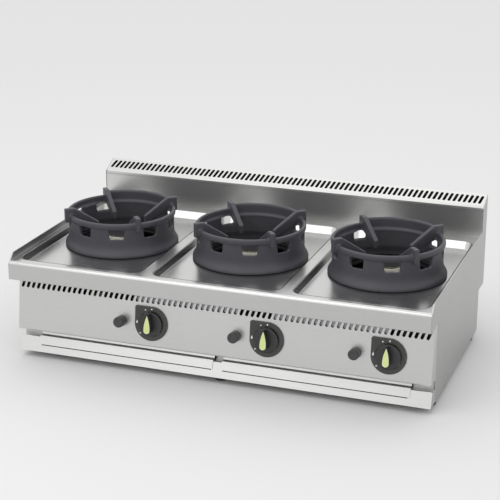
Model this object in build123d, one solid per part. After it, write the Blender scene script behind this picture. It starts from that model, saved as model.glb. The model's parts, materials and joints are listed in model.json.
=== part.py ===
from build123d import *

import os
from math import asin, atan2, cos, degrees, hypot, radians, sin, tan

# Three-burner gas wok range top, 1200 mm wide, standing on six levelling feet.
#
# Frame: +X to the user's right, +Y towards the back, +Z up, millimetres.
# Origin: on the ground, under the middle of the 1200 x 700 mm footprint.
# Depths named ..._Y count from the fascia's front face towards the back.
# Heights named ..._Z or ..._HEIGHT count from the ground that the feet stand on.

# ---------------------------------------------------------------- driving dimensions

# Overall
WIDTH = 1200.0
DEPTH = 700.0
DECK_HEIGHT = 300.0
FLUE_HEIGHT = 418.0
FOOT_GAP = 20.0

# Sheet metal and clearances
SHEET = 1.5
SEAM = 0.2
MOVING_GAP = 0.3
RUNNING_GAP = 0.05
PAST = 1.0  # how far a cutter reaches past the face it opens

# Hidden tubes and fittings are bars with a few flats in place of true rounds
TUBE_SIDES = 8
NUT_SIDES = 6

# Hob top
FASCIA_BOTTOM = 246.4
NOSE_RADIUS = 10.0
FASCIA_RETURN = 16.0
RIM_RISE = 15.0
RIM_THICK = 4.0
RIM_SLANT_RUN = 28.0
RIM_SLANT_DROP = 7.0

# Wells and burner places
BURNER_COUNT = 3
BURNER_Y = 322.0
DECK_EDGE = 17.5
DECK_BRIDGE = 35.0
DECK_REAR = 43.0
WELL_FRONT_Y = 28.0
WELL_CORNER = 30.0
WELL_DEPTH = 20.0
WELL_DRAFT = 4.0
BURNER_HOLE_RADIUS = 118.0

# Flue
FLUE_DEPTH = 57.0
FLUE_OVERHANG = 68.0
FLUE_LIP_Z = 391.0
FLUE_BEND = 8.0
FLUE_FLOOR_Z = 144.0
FLUE_SLOT_END = 15.0
FLUE_SLOT_PITCH = 15.0
FLUE_SLOT_LENGTH = 31.0
FLUE_SLOT_WIDTH = 7.6
FLUE_SLOT_SLANT = 10.6
FLUE_SLOT_FROM_REAR = 26.0

# Control panel
PANEL_TILT = 7.5
PANEL_TOP_Z = 262.0
PANEL_BOTTOM_Z = 85.5
PANEL_Y_AT_FASCIA = 58.4
PANEL_BEND = 5.0
PANEL_END_GAP = 2.0
SIDE_FRONT_Y = 87.0
SIDE_FOLD = 6.0
PANEL_SLOT_END = 16.0
PANEL_SLOT_PITCH = 16.0
PANEL_SLOT_LENGTH = 26.6
PANEL_SLOT_WIDTH = 8.0
PANEL_SLOT_SLANT = 20.0
PANEL_SLOT_DOWN = 26.3

# Controls, placed down the control panel from the fascia's lower edge
KNOB_FROM_END = 119.0
KNOB_PITCH = 335.5
KNOB_DOWN = 96.0
BUTTON_SIDESTEP = 89.0
BUTTON_DOWN = 98.0
DIAL_RADIUS = 48.0
DIAL_THICK = 5.0
KNOB_RADIUS = 34.5
KNOB_SKIRT_TOP = 12.0
KNOB_SKIRT_THICK = 6.0
KNOB_EDGE = 1.5
GRIP_TOP = 35.0
GRIP_ROOT = 1.0
POINTER_TIP = 30.0
POINTER_TAIL = 21.0
POINTER_HALF_WIDTH = 10.0
POINTER_THICK = 1.5
GRIP_BORDER = 1.2
SPINDLE_RADIUS = 4.0
SPINDLE_HOLE_GAP = 2.0
SPINDLE_TOP_WALL = 6.0
BUTTON_RADIUS = 15.0
BUTTON_REACH = 28.0
BUTTON_INSIDE = 12.0
BUTTON_TRAVEL = 6.0
BUTTON_EDGE = 2.0
IGNITER_WALL = 3.0
IGNITER_LENGTH = 46.0
IGNITER_END_ROOM = 2.0

# Lower front, trays and base
RECESS_BOTTOM_Z = 62.0
PLINTH_TOP_Y = 56.0
PLINTH_BOTTOM_Y = 41.0
PLINTH_BEND = 3.0
CROSSMEMBER_Y = 75.0
CROSSMEMBER_TOP_Z = 100.0
TRAY_SIDE_GAP = 1.0
NUT_CLEARANCE = 2.0
BASE_FRONT_Y = 70.0
BASE_NOTCH = 6.0
TRAY_INNER_X = 13.0
TRAY_SIDE_ROOM = 60.0
TRAY_FRONT_Y = 66.0
TRAY_REAR_ROOM = 72.0
TRAY_FLOOR_Z = 66.0
TRAY_RIM_Z = 80.0
TRAY_APRON_BOTTOM_Z = 41.5
RUNNER_WIDTH = 15.0
BACK_PANEL_TOP_Z = 160.0
INLET_CLEARANCE = 2.0

# Burners
BURNER_RADIUS = 48.0
BURNER_TOP_Z = 306.0
BURNER_WALL = 8.0
BURNER_SEAT_Z = 258.0
BURNER_FLANGE_X = 68.0
BURNER_FLANGE_Y = 70.0
BURNER_FLANGE_THICK = 5.0
CAP_RADIUS = 50.0
CAP_GAP = 5.0
CAP_THICK = 3.0
CAP_TEETH = 12
CAP_SKIRT_WALL = 3.0
CAP_SKIRT_DEPTH = 8.0
TOOTH_LENGTH = 4.5
TOOTH_WIDTH = 4.0
TOOTH_GAP = 2.0
MIXER_Z = 190.0
MIXER_RADIUS = 18.0
MIXER_BORE = 14.0
NECK_RADIUS = 22.0
BELL_RADIUS = 25.0
BELL_WALL = 3.0
BELL_LENGTH = 15.0
BELL_MOUTH = 10.0
BELL_Y = 150.0
RAIL_LEG = 20.0
RAIL_THICK = 2.0
RAIL_OFFSET = 58.0

# Pilot unit: (place along the bracket, radius, height) of electrode, pilot and thermocouple
PILOT_GAP = 11.0
PILOT_BRACKET = (14.0, 32.0, 3.0)
PILOT_RODS = ((-10.0, 2.5, 40.0), (0.0, 4.5, 34.0), (10.0, 3.0, 41.0))

# Gas line; distances called ..._BACK count inwards from the control panel's face
MANIFOLD_BACK = 46.0
MANIFOLD_DROP = 33.0
MANIFOLD_BOSS = 14.0
MANIFOLD_BOSS_RADIUS = 9.0
MANIFOLD_RADIUS = 10.65
MANIFOLD_BORE = 8.0
MANIFOLD_START = 60.0
INLET_FROM_SIDE = 40.0
INLET_THREAD_RADIUS = 10.48
INLET_THREAD_LENGTH = 19.0
INLET_FROM_REAR = 8.0
VALVE_RADIUS = 17.0
VALVE_NECK_RADIUS = 9.0
VALVE_NECK_BACK = 14.0
VALVE_END_BACK = 58.0
VALVE_INLET_RADIUS = 7.0
VALVE_INLET_GAP = 2.0
VALVE_OUTLET_BACK = 40.0
VALVE_OUTLET_RADIUS = 8.0
VALVE_OUTLET_RISE = 3.0
VALVE_OUTLET_LENGTH = 20.0
PLUG_RADIUS = 8.0
PLUG_FRONT_BACK = 30.0
PLUG_REAR_BACK = 50.0
PLUG_BORE_BACK = 43.0
SPINDLE_END_BACK = 36.0
PIPE_RADIUS = 5.0
JET_HOLDER_RADIUS = 9.0
JET_HOLDER_LENGTH = 14.0
JET_RADIUS = 4.0
JET_LENGTH = 6.0
JET_INSIDE = 2.0
SHIELD_Y = 106.0
SHIELD_BOTTOM_Z = 168.0
SHIELD_STRIP = 12.0
SHIELD_TOP_Z = 232.0
SHIELD_PLATE_LEFT = 208.0
SHIELD_PLATE_RIGHT = 96.0
SHIELD_PASS_GAP = 3.0

# Wok ring; ..._IN values step inwards from the belly or the band
RING_SIDE_GAP = 17.5
RING_FOOT_IN = 7.0
RING_BELLY_RISE = 6.0
RING_SHOULDER_IN = 3.5
RING_SHOULDER_RISE = 13.0
RING_WALL_IN = 12.0
RING_WALL_RISE = 28.0
RING_WALL = 10.0
RING_FOOT_WALL = 8.0
RING_FOOT_INNER_RISE = 10.0
RING_BAND_STEP = 4.5
RING_BAND_WALL = 10.5
RING_BAND_EDGE = 3.0
RING_HEIGHT = 100.0
RING_BAND_HEIGHT = 15.0
RING_LEDGE_IN = 9.0
RING_LEDGE_DROP = 14.0
RING_LEDGE_FADE = 30.0
RING_SHIELD_RISE = 12.0
RING_SHIELD_ANGLE = 90.0
ARM_COUNT = 4
ARM_THICK = 10.0
ARM_OVERHANG = 10.5
ARM_FLAT = 28.0
ARM_TIP = 69.0
ARM_RISE = 15.5
ARM_TIP_DROP = 30.0
ARM_TIP_HEIGHT = 24.0
ARM_ROOT_DROP = 8.0
WINDOW_PITCH = 38.0
WINDOW_COUNT = 8
WINDOW_TOP_HALF_WIDTH = 23.0
WINDOW_BOTTOM_HALF_WIDTH = 19.5
WINDOW_HEIGHT = 27.5
WINDOW_BELOW_BAND = 2.0
WINDOW_DROP = 25.0
WINDOW_START = 3.0
WINDOW_RUN = 24.0

# Feet
FOOT_RADIUS = 17.0
FOOT_PAD_HEIGHT = 14.0
FOOT_STUD_RADIUS = 5.0
FOOT_STUD_TOP_Z = 52.0
FOOT_LOCK_NUT_RADIUS = 11.0
FOOT_NUT_RADIUS = 10.0
FOOT_NUT_HEIGHT = 12.0
FOOT_FROM_SIDE = 22.0
FOOT_FRONT_Y = 118.0
FOOT_MIDDLE_Y = 82.0
FOOT_FROM_REAR = 42.0

# ---------------------------------------------------------------- derived places

FRONT = -DEPTH / 2
HALF = WIDTH / 2
INSIDE_X = HALF - SHEET
PANEL_END_X = HALF - PANEL_END_GAP
TRAY_OUTER_X = HALF - TRAY_SIDE_ROOM
INLET_X = HALF - INLET_FROM_SIDE
SPLASH_Y = DEPTH - FLUE_DEPTH
SIDE_REAR_Y = DEPTH - FLUE_OVERHANG
WELL_BACK_Y = SPLASH_Y - DECK_REAR
TRAY_BACK_Y = SIDE_REAR_Y - TRAY_REAR_ROOM
INLET_END_Y = DEPTH - INLET_FROM_REAR
WELL_WIDTH = (WIDTH - 2 * DECK_EDGE - (BURNER_COUNT - 1) * DECK_BRIDGE) / BURNER_COUNT
BURNER_PITCH = WELL_WIDTH + DECK_BRIDGE
WELL_X = [(k - (BURNER_COUNT - 1) / 2) * BURNER_PITCH for k in range(BURNER_COUNT)]
KNOB_X = [HALF - KNOB_FROM_END - (BURNER_COUNT - 1 - k) * KNOB_PITCH for k in range(BURNER_COUNT)]
WELL_FLOOR_Z = DECK_HEIGHT - WELL_DEPTH
FLUE_SLOPE = degrees(atan2(FLUE_HEIGHT - FLUE_LIP_Z, FLUE_DEPTH))
FLUE_BEND_TANGENT = FLUE_BEND * tan(radians(90 - FLUE_SLOPE) / 2)
SPLASH_TOP_Z = FLUE_LIP_Z - FLUE_BEND_TANGENT - 2 * SHEET
TILT_RUN = tan(radians(PANEL_TILT))

RING_LOW_Z = WELL_FLOOR_Z + MOVING_GAP
RING_TOP_Z = WELL_FLOOR_Z + RING_HEIGHT
BAND_LOW_Z = RING_TOP_Z - RING_BAND_HEIGHT
BELLY_RADIUS = WELL_WIDTH / 2 - RING_SIDE_GAP
RING_FOOT_RADIUS = BELLY_RADIUS - RING_FOOT_IN
RING_WALL_RADIUS = BELLY_RADIUS - RING_WALL_IN
BAND_RADIUS = RING_WALL_RADIUS + RING_BAND_STEP
BAND_INNER = BAND_RADIUS - RING_BAND_WALL
LEDGE_RADIUS = BAND_INNER - RING_LEDGE_IN

FOOT_SIDE_X = HALF - FOOT_FROM_SIDE
FOOT_REAR_Y = SIDE_REAR_Y - FOOT_FROM_REAR
FOOT_PLACES = [
    (-FOOT_SIDE_X, FOOT_FRONT_Y),
    (0.0, FOOT_MIDDLE_Y),
    (FOOT_SIDE_X, FOOT_FRONT_Y),
    (-FOOT_SIDE_X, FOOT_REAR_Y),
    (0.0, FOOT_REAR_Y),
    (FOOT_SIDE_X, FOOT_REAR_Y),
]


def back(distance):
    """Frame Y of a depth counted from the fascia's front face."""
    return FRONT + distance


def panel_y(height):
    """Depth of the control panel's front face at a height."""
    return PANEL_Y_AT_FASCIA - (FASCIA_BOTTOM - height) * TILT_RUN


# The panel's own frame: X along the panel, Y up the panel, Z out of its front face.
PANEL = Plane(
    origin=(0, back(PANEL_Y_AT_FASCIA), FASCIA_BOTTOM),
    x_dir=(1, 0, 0),
    z_dir=(0, -cos(radians(PANEL_TILT)), sin(radians(PANEL_TILT))),
)


# ---------------------------------------------------------------- shared shapes


def block(x_range, y_range, z_range):
    """A box between two values on each axis; y_range holds depths from the fascia."""
    size = [high - low for low, high in (x_range, y_range, z_range)]
    middle = [(high + low) / 2 for low, high in (x_range, y_range, z_range)]
    return Pos(middle[0], back(middle[1]), middle[2]) * Box(*size)


def rod(radius, start, end):
    """A round bar between two points."""
    axis = Vector(*end) - Vector(*start)
    place = Plane(origin=start, z_dir=axis)
    return extrude(place * Circle(radius), amount=axis.length)


def bar(radius, start, end, sides=TUBE_SIDES):
    """A bar with flats at a radius from its axis, between two points."""
    axis = Vector(*end) - Vector(*start)
    place = Plane(origin=start, z_dir=axis)
    section = RegularPolygon(radius, sides, major_radius=False, rotation=180 / sides)
    return extrude(place * section, amount=axis.length)


def plate_x(outline, x_range):
    """A plate whose side outline is given as (depth, height) points."""
    points = [(0, back(depth), height) for depth, height in outline]
    face = Pos(x_range[0], 0, 0) * make_face(Polyline(*points, close=True))
    return extrude(face, amount=x_range[1] - x_range[0], dir=(1, 0, 0))


def mid_line(outer, thickness):
    """Shift a folded outline to the middle of its sheet, which lies on its left."""
    lines = []
    for (y0, z0), (y1, z1) in zip(outer, outer[1:]):
        length = hypot(y1 - y0, z1 - z0)
        shift = (-(z1 - z0) / length * thickness / 2, (y1 - y0) / length * thickness / 2)
        lines.append(((y0 + shift[0], z0 + shift[1]), (y1 - y0, z1 - z0)))
    last_point, last_run = lines[-1]
    points = [lines[0][0]]
    for (p, r), (q, s) in zip(lines, lines[1:]):
        cross = r[0] * s[1] - r[1] * s[0]
        along = ((q[0] - p[0]) * s[1] - (q[1] - p[1]) * s[0]) / cross
        points.append((p[0] + along * r[0], p[1] + along * r[1]))
    points.append((last_point[0] + last_run[0], last_point[1] + last_run[1]))
    return points


def folded_sheet(outer, x_range, bend_radius, thickness=SHEET):
    """A sheet folded along X: outer is its outside outline, the sheet on its left."""
    points = mid_line([(back(depth), height) for depth, height in outer], thickness)
    radii = bend_radius
    if not isinstance(bend_radius, (list, tuple)):
        radii = [bend_radius] * (len(points) - 2)
    line = FilletPolyline(*points, radius=[r - thickness / 2 for r in radii])
    section = trace(line, thickness)
    face = Plane((x_range[0], 0, 0), x_dir=(0, 1, 0), z_dir=(1, 0, 0)) * section
    return extrude(face, amount=x_range[1] - x_range[0])


def slot_row(end_margin, pitch, length, width, slant, y):
    """Flat slots in a row along X, leaning by slant degrees towards +X at the top."""
    end = width / 2
    half = length / 2 - end
    corners = [(end, half), (0, half + end), (-end, half), (-end, -half), (0, -half - end), (end, -half)]
    slot = make_face(Polyline(*corners, close=True))
    gaps = int((WIDTH - 2 * end_margin) // pitch)
    first = -gaps / 2 * pitch
    return [Pos(first + k * pitch, y) * Rot(0, 0, -slant) * slot for k in range(gaps + 1)]


def mirrored(shape):
    """The same shape on the other side of the range."""
    return mirror(shape, about=Plane.YZ)


NODES = {}


def keep(name, *shapes):
    """Store the solids of one node."""
    NODES[name] = shapes[0] if len(shapes) == 1 else Compound(children=list(shapes))


# ---------------------------------------------------------------- hob top


def well_outline(grow, z):
    """The rounded rectangle of one well at height z, larger by grow on each side."""
    depth = WELL_BACK_Y - WELL_FRONT_Y + 2 * grow
    middle = back((WELL_BACK_Y + WELL_FRONT_Y) / 2)
    shape = RectangleRounded(WELL_WIDTH + 2 * grow, depth, WELL_CORNER + grow)
    return Pos(0, middle, z) * shape


def hob_top():
    """Folded top sheet with fascia, rounded front edge, skirts and raised side rims."""
    folds = [
        (SPLASH_Y, DECK_HEIGHT),
        (0, DECK_HEIGHT),
        (0, FASCIA_BOTTOM),
        (FASCIA_RETURN, FASCIA_BOTTOM),
    ]
    top = folded_sheet(folds, (-INSIDE_X, INSIDE_X), [NOSE_RADIUS, 2 * SHEET])
    rim_rear = SPLASH_Y - SHEET
    skirt = [
        (0, FASCIA_BOTTOM),
        (0, DECK_HEIGHT - RIM_SLANT_DROP),
        (RIM_SLANT_RUN, DECK_HEIGHT + RIM_RISE),
        (rim_rear, DECK_HEIGHT + RIM_RISE),
        (rim_rear, FASCIA_BOTTOM),
    ]
    hem_low = DECK_HEIGHT - SHEET
    hem = [
        (NOSE_RADIUS, hem_low),
        (RIM_SLANT_RUN, DECK_HEIGHT + RIM_RISE),
        (rim_rear, DECK_HEIGHT + RIM_RISE),
        (rim_rear, hem_low),
    ]
    side = plate_x(skirt, (INSIDE_X, HALF)) + plate_x(hem, (HALF - RIM_THICK, HALF))
    top = top + side + mirrored(side)
    for x in WELL_X:
        outline = Pos(x, 0, 0) * well_outline(0, DECK_HEIGHT + PAST)
        opening = extrude(outline, amount=-SHEET - 2 * PAST)
        top = top - opening
    return top


def well_pan(x):
    """Pressed well with drafted walls and a burner hole, welded under the deck's opening."""
    draft = degrees(atan2(WELL_DRAFT, WELL_DEPTH - SHEET))
    rim = DECK_HEIGHT - SHEET
    drop = rim - WELL_FLOOR_Z
    inner = extrude(well_outline(0, rim), amount=-drop, taper=draft)
    outer = extrude(well_outline(SHEET, rim), amount=-drop - SHEET, taper=draft)
    hole_low = (0, back(BURNER_Y), WELL_FLOOR_Z - SHEET - PAST)
    hole = rod(BURNER_HOLE_RADIUS, hole_low, (0, back(BURNER_Y), WELL_FLOOR_Z + PAST))
    return Pos(x, 0, 0) * (outer - inner - hole)


# ---------------------------------------------------------------- splashback and flue


def splashback():
    """Upright sheet behind the burners, standing on the rear of the deck."""
    height = (DECK_HEIGHT - SHEET, SPLASH_TOP_Z)
    return block((-INSIDE_X, INSIDE_X), (SPLASH_Y, SPLASH_Y + SHEET), height)


def flue_grille():
    """Sloping slotted cap of the flue, rounded over the splashback's top edge."""
    inset = SEAM + SHEET * sin(radians(FLUE_SLOPE))
    outline = [
        (DEPTH - inset, FLUE_HEIGHT - inset * tan(radians(FLUE_SLOPE))),
        (SPLASH_Y, FLUE_LIP_Z),
        (SPLASH_Y, SPLASH_TOP_Z),
    ]
    cap = folded_sheet(outline, (-INSIDE_X + SEAM, INSIDE_X - SEAM), FLUE_BEND)
    slope = Plane(
        origin=(0, back(DEPTH), FLUE_HEIGHT),
        x_dir=(1, 0, 0),
        z_dir=(0, -sin(radians(FLUE_SLOPE)), cos(radians(FLUE_SLOPE))),
    )
    row = slot_row(
        FLUE_SLOT_END,
        FLUE_SLOT_PITCH,
        FLUE_SLOT_LENGTH,
        FLUE_SLOT_WIDTH,
        FLUE_SLOT_SLANT,
        -FLUE_SLOT_FROM_REAR,
    )
    return cap - [extrude(slope * slot, amount=3 * SHEET, both=True) for slot in row]


def flue_cheek():
    """Right end of the flue box, flush with the side panel and the skirt."""
    outline = [
        (SIDE_REAR_Y, FLUE_FLOOR_Z),
        (DEPTH, FLUE_FLOOR_Z),
        (DEPTH, FLUE_HEIGHT),
        (SPLASH_Y, FLUE_LIP_Z),
        (SPLASH_Y - SHEET + SEAM, FLUE_LIP_Z),
        (SPLASH_Y - SHEET + SEAM, FASCIA_BOTTOM - SEAM),
        (SIDE_REAR_Y, FASCIA_BOTTOM - SEAM),
    ]
    return plate_x(outline, (INSIDE_X, HALF))


def flue_back():
    """Rear sheet of the flue box with its folded floor."""
    top = FLUE_HEIGHT - SHEET / cos(radians(FLUE_SLOPE)) - SHEET
    outline = [(SIDE_REAR_Y, FLUE_FLOOR_Z), (DEPTH, FLUE_FLOOR_Z), (DEPTH, top)]
    return folded_sheet(outline, (-INSIDE_X + SEAM, INSIDE_X - SEAM), 2 * SHEET)


# ---------------------------------------------------------------- casing


def side_panel():
    """Right side sheet with its folded front edge."""
    rear = SIDE_REAR_Y - SEAM
    top = FASCIA_BOTTOM - SEAM
    outline = [
        (SIDE_FRONT_Y, FOOT_GAP),
        (SIDE_FRONT_Y, top),
        (rear, top),
        (rear, FOOT_GAP),
    ]
    skin = plate_x(outline, (INSIDE_X, HALF))
    fold_y = (SIDE_FRONT_Y, SIDE_FRONT_Y + SHEET)
    return skin + block((INSIDE_X - SIDE_FOLD, INSIDE_X), fold_y, (FOOT_GAP, top))


def control_panel():
    """Tilted front with slots, folded top and bottom edges and end returns."""
    outline = [
        (SIDE_FRONT_Y - SEAM, PANEL_TOP_Z),
        (panel_y(PANEL_TOP_Z), PANEL_TOP_Z),
        (panel_y(PANEL_BOTTOM_Z), PANEL_BOTTOM_Z),
        (CROSSMEMBER_Y - SEAM, PANEL_BOTTOM_Z),
    ]
    sheet = folded_sheet(outline, (-PANEL_END_X, PANEL_END_X), [2 * SHEET, PANEL_BEND])
    end_outline = [
        (panel_y(FASCIA_BOTTOM - SEAM) + SHEET / 2, FASCIA_BOTTOM - SEAM),
        (panel_y(PANEL_BOTTOM_Z + PANEL_BEND) + SHEET / 2, PANEL_BOTTOM_Z + PANEL_BEND),
        (panel_y(PANEL_BOTTOM_Z) + PANEL_BEND, PANEL_BOTTOM_Z + SHEET / 2),
        (SIDE_FRONT_Y - SEAM, PANEL_BOTTOM_Z + SHEET / 2),
        (SIDE_FRONT_Y - SEAM, FASCIA_BOTTOM - SEAM),
    ]
    end = plate_x(end_outline, (PANEL_END_X - SHEET, PANEL_END_X))
    panel = sheet + end + mirrored(end)
    row = slot_row(
        PANEL_SLOT_END,
        PANEL_SLOT_PITCH,
        PANEL_SLOT_LENGTH,
        PANEL_SLOT_WIDTH,
        PANEL_SLOT_SLANT,
        -PANEL_SLOT_DOWN,
    )
    holes = []
    for x in KNOB_X:
        spindle_hole = RegularPolygon(SPINDLE_RADIUS + SPINDLE_HOLE_GAP, TUBE_SIDES)
        holes.append(Pos(x, -KNOB_DOWN) * spindle_hole)
        holes.append(Pos(x - BUTTON_SIDESTEP, -BUTTON_DOWN) * Circle(BUTTON_RADIUS + MOVING_GAP))
    return panel - [extrude(PANEL * cut, amount=3 * SHEET, both=True) for cut in row + holes]


def plinth_y(height):
    """Depth of the plinth's front face at a height."""
    rise = (height - FOOT_GAP) / (RECESS_BOTTOM_Z - FOOT_GAP)
    return PLINTH_BOTTOM_Y + rise * (PLINTH_TOP_Y - PLINTH_BOTTOM_Y)


def plinth():
    """Tilted lower front with folded edges and end returns."""
    rear = SIDE_FRONT_Y - SEAM
    outline = [
        (CROSSMEMBER_Y - SEAM, RECESS_BOTTOM_Z),
        (PLINTH_TOP_Y, RECESS_BOTTOM_Z),
        (PLINTH_BOTTOM_Y, FOOT_GAP),
        (BASE_FRONT_Y - SEAM, FOOT_GAP),
    ]
    sheet = folded_sheet(outline, (-PANEL_END_X, PANEL_END_X), [PLINTH_BEND, PLINTH_BEND])
    inner = SHEET / 2
    end_outline = [
        (PLINTH_BOTTOM_Y + 2 * PLINTH_BEND, FOOT_GAP + inner),
        (plinth_y(FOOT_GAP + PLINTH_BEND) + inner, FOOT_GAP + PLINTH_BEND),
        (plinth_y(RECESS_BOTTOM_Z - PLINTH_BEND) + inner, RECESS_BOTTOM_Z - PLINTH_BEND),
        (PLINTH_TOP_Y + PLINTH_BEND, RECESS_BOTTOM_Z - inner),
        (rear, RECESS_BOTTOM_Z - inner),
        (rear, FOOT_GAP + inner),
    ]
    end = plate_x(end_outline, (PANEL_END_X - SHEET, PANEL_END_X))
    return sheet + end + mirrored(end)


def front_crossmember():
    """Rail behind the recess with three legs; the trays pass between the legs."""
    low = FOOT_GAP + SHEET + SEAM
    reach = PANEL_END_X - SHEET - SEAM
    inner = TRAY_INNER_X - TRAY_SIDE_GAP
    outer = TRAY_OUTER_X + TRAY_SIDE_GAP
    over_nut = FOOT_STUD_TOP_Z + NUT_CLEARANCE
    leg_y = (CROSSMEMBER_Y, CROSSMEMBER_Y + SHEET)
    rail_y = (CROSSMEMBER_Y + SHEET, CROSSMEMBER_Y + 2 * SHEET)
    end_leg = block((outer, reach), leg_y, (low, CROSSMEMBER_TOP_Z))
    middle_leg = block((-inner, inner), leg_y, (over_nut, CROSSMEMBER_TOP_Z))
    rail = block((-reach, reach), rail_y, (PANEL_BOTTOM_Z - SHEET, CROSSMEMBER_TOP_Z))
    return [rail, middle_leg, end_leg, mirrored(end_leg)]


def base_plate():
    """Bottom sheet with a welded nut for each foot."""
    low = FOOT_GAP
    reach = INSIDE_X - SEAM
    front = BASE_FRONT_Y
    rear = SIDE_REAR_Y - SHEET - SEAM
    sheet = block((-reach, reach), (front, rear), (low, low + SHEET))
    notch_y = (front - PAST, SIDE_FRONT_Y + SHEET + SEAM)
    notch_z = (low - PAST, low + SHEET + PAST)
    notch = block((PANEL_END_X - BASE_NOTCH, PANEL_END_X + BASE_NOTCH), notch_y, notch_z)
    sheet = sheet - [notch, mirrored(notch)]
    for x, y in FOOT_PLACES:
        top = low + SHEET + FOOT_NUT_HEIGHT
        nut = bar(FOOT_NUT_RADIUS, (x, back(y), low), (x, back(y), top), NUT_SIDES)
        bore = rod(FOOT_STUD_RADIUS + RUNNING_GAP, (x, back(y), low - PAST), (x, back(y), top + PAST))
        sheet = sheet + nut - bore
    return sheet


def back_panel():
    """Lower rear sheet with the gas inlet hole."""
    reach = INSIDE_X - SEAM
    sheet = block(
        (-reach, reach),
        (SIDE_REAR_Y - SHEET - SEAM, SIDE_REAR_Y - SEAM),
        (FOOT_GAP, BACK_PANEL_TOP_Z),
    )
    inlet_z = manifold_place()[1]
    start = (INLET_X, back(SIDE_REAR_Y - 3 * SHEET), inlet_z)
    return sheet - rod(MANIFOLD_RADIUS + INLET_CLEARANCE, start, (INLET_X, back(SIDE_REAR_Y), inlet_z))


# ---------------------------------------------------------------- trays


def drip_tray():
    """Right tray: a shallow pan whose floor runs out to an apron over the plinth."""
    lean = (PLINTH_TOP_Y - PLINTH_BOTTOM_Y) / (RECESS_BOTTOM_Z - FOOT_GAP)
    proud = (MOVING_GAP + SHEET) * hypot(1, lean)
    apron = [
        (TRAY_FRONT_Y, TRAY_FLOOR_Z),
        (plinth_y(TRAY_FLOOR_Z) - proud, TRAY_FLOOR_Z),
        (plinth_y(TRAY_APRON_BOTTOM_Z) - proud, TRAY_APRON_BOTTOM_Z),
    ]
    x_range = (TRAY_INNER_X, TRAY_OUTER_X)
    front = folded_sheet(apron, x_range, 2 * SHEET)
    pan = block(x_range, (TRAY_FRONT_Y, TRAY_BACK_Y), (TRAY_FLOOR_Z - SHEET, TRAY_RIM_Z))
    inside = block(
        (TRAY_INNER_X + SHEET, TRAY_OUTER_X - SHEET),
        (TRAY_FRONT_Y + SHEET, TRAY_BACK_Y - SHEET),
        (TRAY_FLOOR_Z, TRAY_RIM_Z + PAST),
    )
    return pan - inside + front


def tray_runners():
    """Four angle rails along the depth, one at each side of each tray."""
    top = TRAY_FLOOR_Z - SHEET - MOVING_GAP
    depth = (CROSSMEMBER_Y + SHEET + SEAM, SIDE_REAR_Y - SHEET - 2 * SEAM)
    rails = []
    for edge, sense in ((TRAY_OUTER_X, 1), (TRAY_INNER_X, -1)):
        wall = edge + sense * TRAY_SIDE_GAP
        leg = sorted((wall, wall + sense * SHEET))
        shelf = sorted((wall + sense * SHEET, edge - sense * RUNNER_WIDTH))
        rail = block(leg, depth, (top - SHEET, TRAY_RIM_Z)) + block(shelf, depth, (top - SHEET, top))
        rails += [rail, mirrored(rail)]
    return rails


# ---------------------------------------------------------------- wok ring


def ring_section():
    """Cast section of the ring, from the foot to the band."""
    wall_in = RING_WALL_RADIUS - RING_WALL
    foot_in = RING_FOOT_RADIUS - RING_FOOT_WALL
    points = [
        (RING_FOOT_RADIUS, RING_LOW_Z),
        (BELLY_RADIUS, RING_LOW_Z + RING_BELLY_RISE),
        (BELLY_RADIUS - RING_SHOULDER_IN, RING_LOW_Z + RING_SHOULDER_RISE),
        (RING_WALL_RADIUS, RING_LOW_Z + RING_WALL_RISE),
        (RING_WALL_RADIUS, BAND_LOW_Z - WINDOW_BELOW_BAND / 2),
        (BAND_RADIUS, BAND_LOW_Z),
        (BAND_RADIUS, RING_TOP_Z - RING_BAND_EDGE),
        (BAND_RADIUS - RING_BAND_EDGE, RING_TOP_Z),
        (BAND_INNER, RING_TOP_Z),
        (BAND_INNER, BAND_LOW_Z - WINDOW_BELOW_BAND),
        (LEDGE_RADIUS, BAND_LOW_Z - RING_LEDGE_DROP),
        (wall_in, BAND_LOW_Z - RING_LEDGE_FADE),
        (foot_in, RING_LOW_Z + RING_FOOT_INNER_RISE),
        (foot_in, RING_LOW_Z),
    ]
    return Plane.XZ * make_face(Polyline(*points, close=True))


def ring_arm():
    """One pan-support arm, lying along +X."""
    outer = BAND_RADIUS + ARM_OVERHANG
    top = RING_TOP_Z + ARM_RISE
    tip_top = RING_TOP_Z - ARM_TIP_DROP
    root_low = BAND_LOW_Z - ARM_ROOT_DROP
    points = [
        (outer, root_low),
        (outer, top),
        (outer - ARM_FLAT, top),
        (ARM_TIP, tip_top),
        (ARM_TIP, tip_top - ARM_TIP_HEIGHT),
        (LEDGE_RADIUS + PAST, root_low),
    ]
    face = Plane.XZ * make_face(Polyline(*points, close=True))
    return extrude(face, amount=ARM_THICK / 2, both=True)


def ring_window(angle):
    """Cutter of one window, pointing down towards the burner."""
    top = BAND_LOW_Z - WINDOW_BELOW_BAND
    low = top - WINDOW_HEIGHT
    points = [
        (-WINDOW_TOP_HALF_WIDTH, top),
        (WINDOW_TOP_HALF_WIDTH, top),
        (WINDOW_BOTTOM_HALF_WIDTH, low),
        (-WINDOW_BOTTOM_HALF_WIDTH, low),
    ]
    slope = tan(radians(WINDOW_DROP))
    start = (0, -RING_WALL_RADIUS - WINDOW_START, WINDOW_START * slope)
    face = Plane(start, z_dir=(0, -1, 0), x_dir=(1, 0, 0)) * make_face(Polyline(*points, close=True))
    fall = WINDOW_RUN * slope
    cutter = extrude(face, amount=hypot(WINDOW_RUN, fall), dir=(0, WINDOW_RUN, -fall))
    return Rot(0, 0, angle) * cutter


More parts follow.
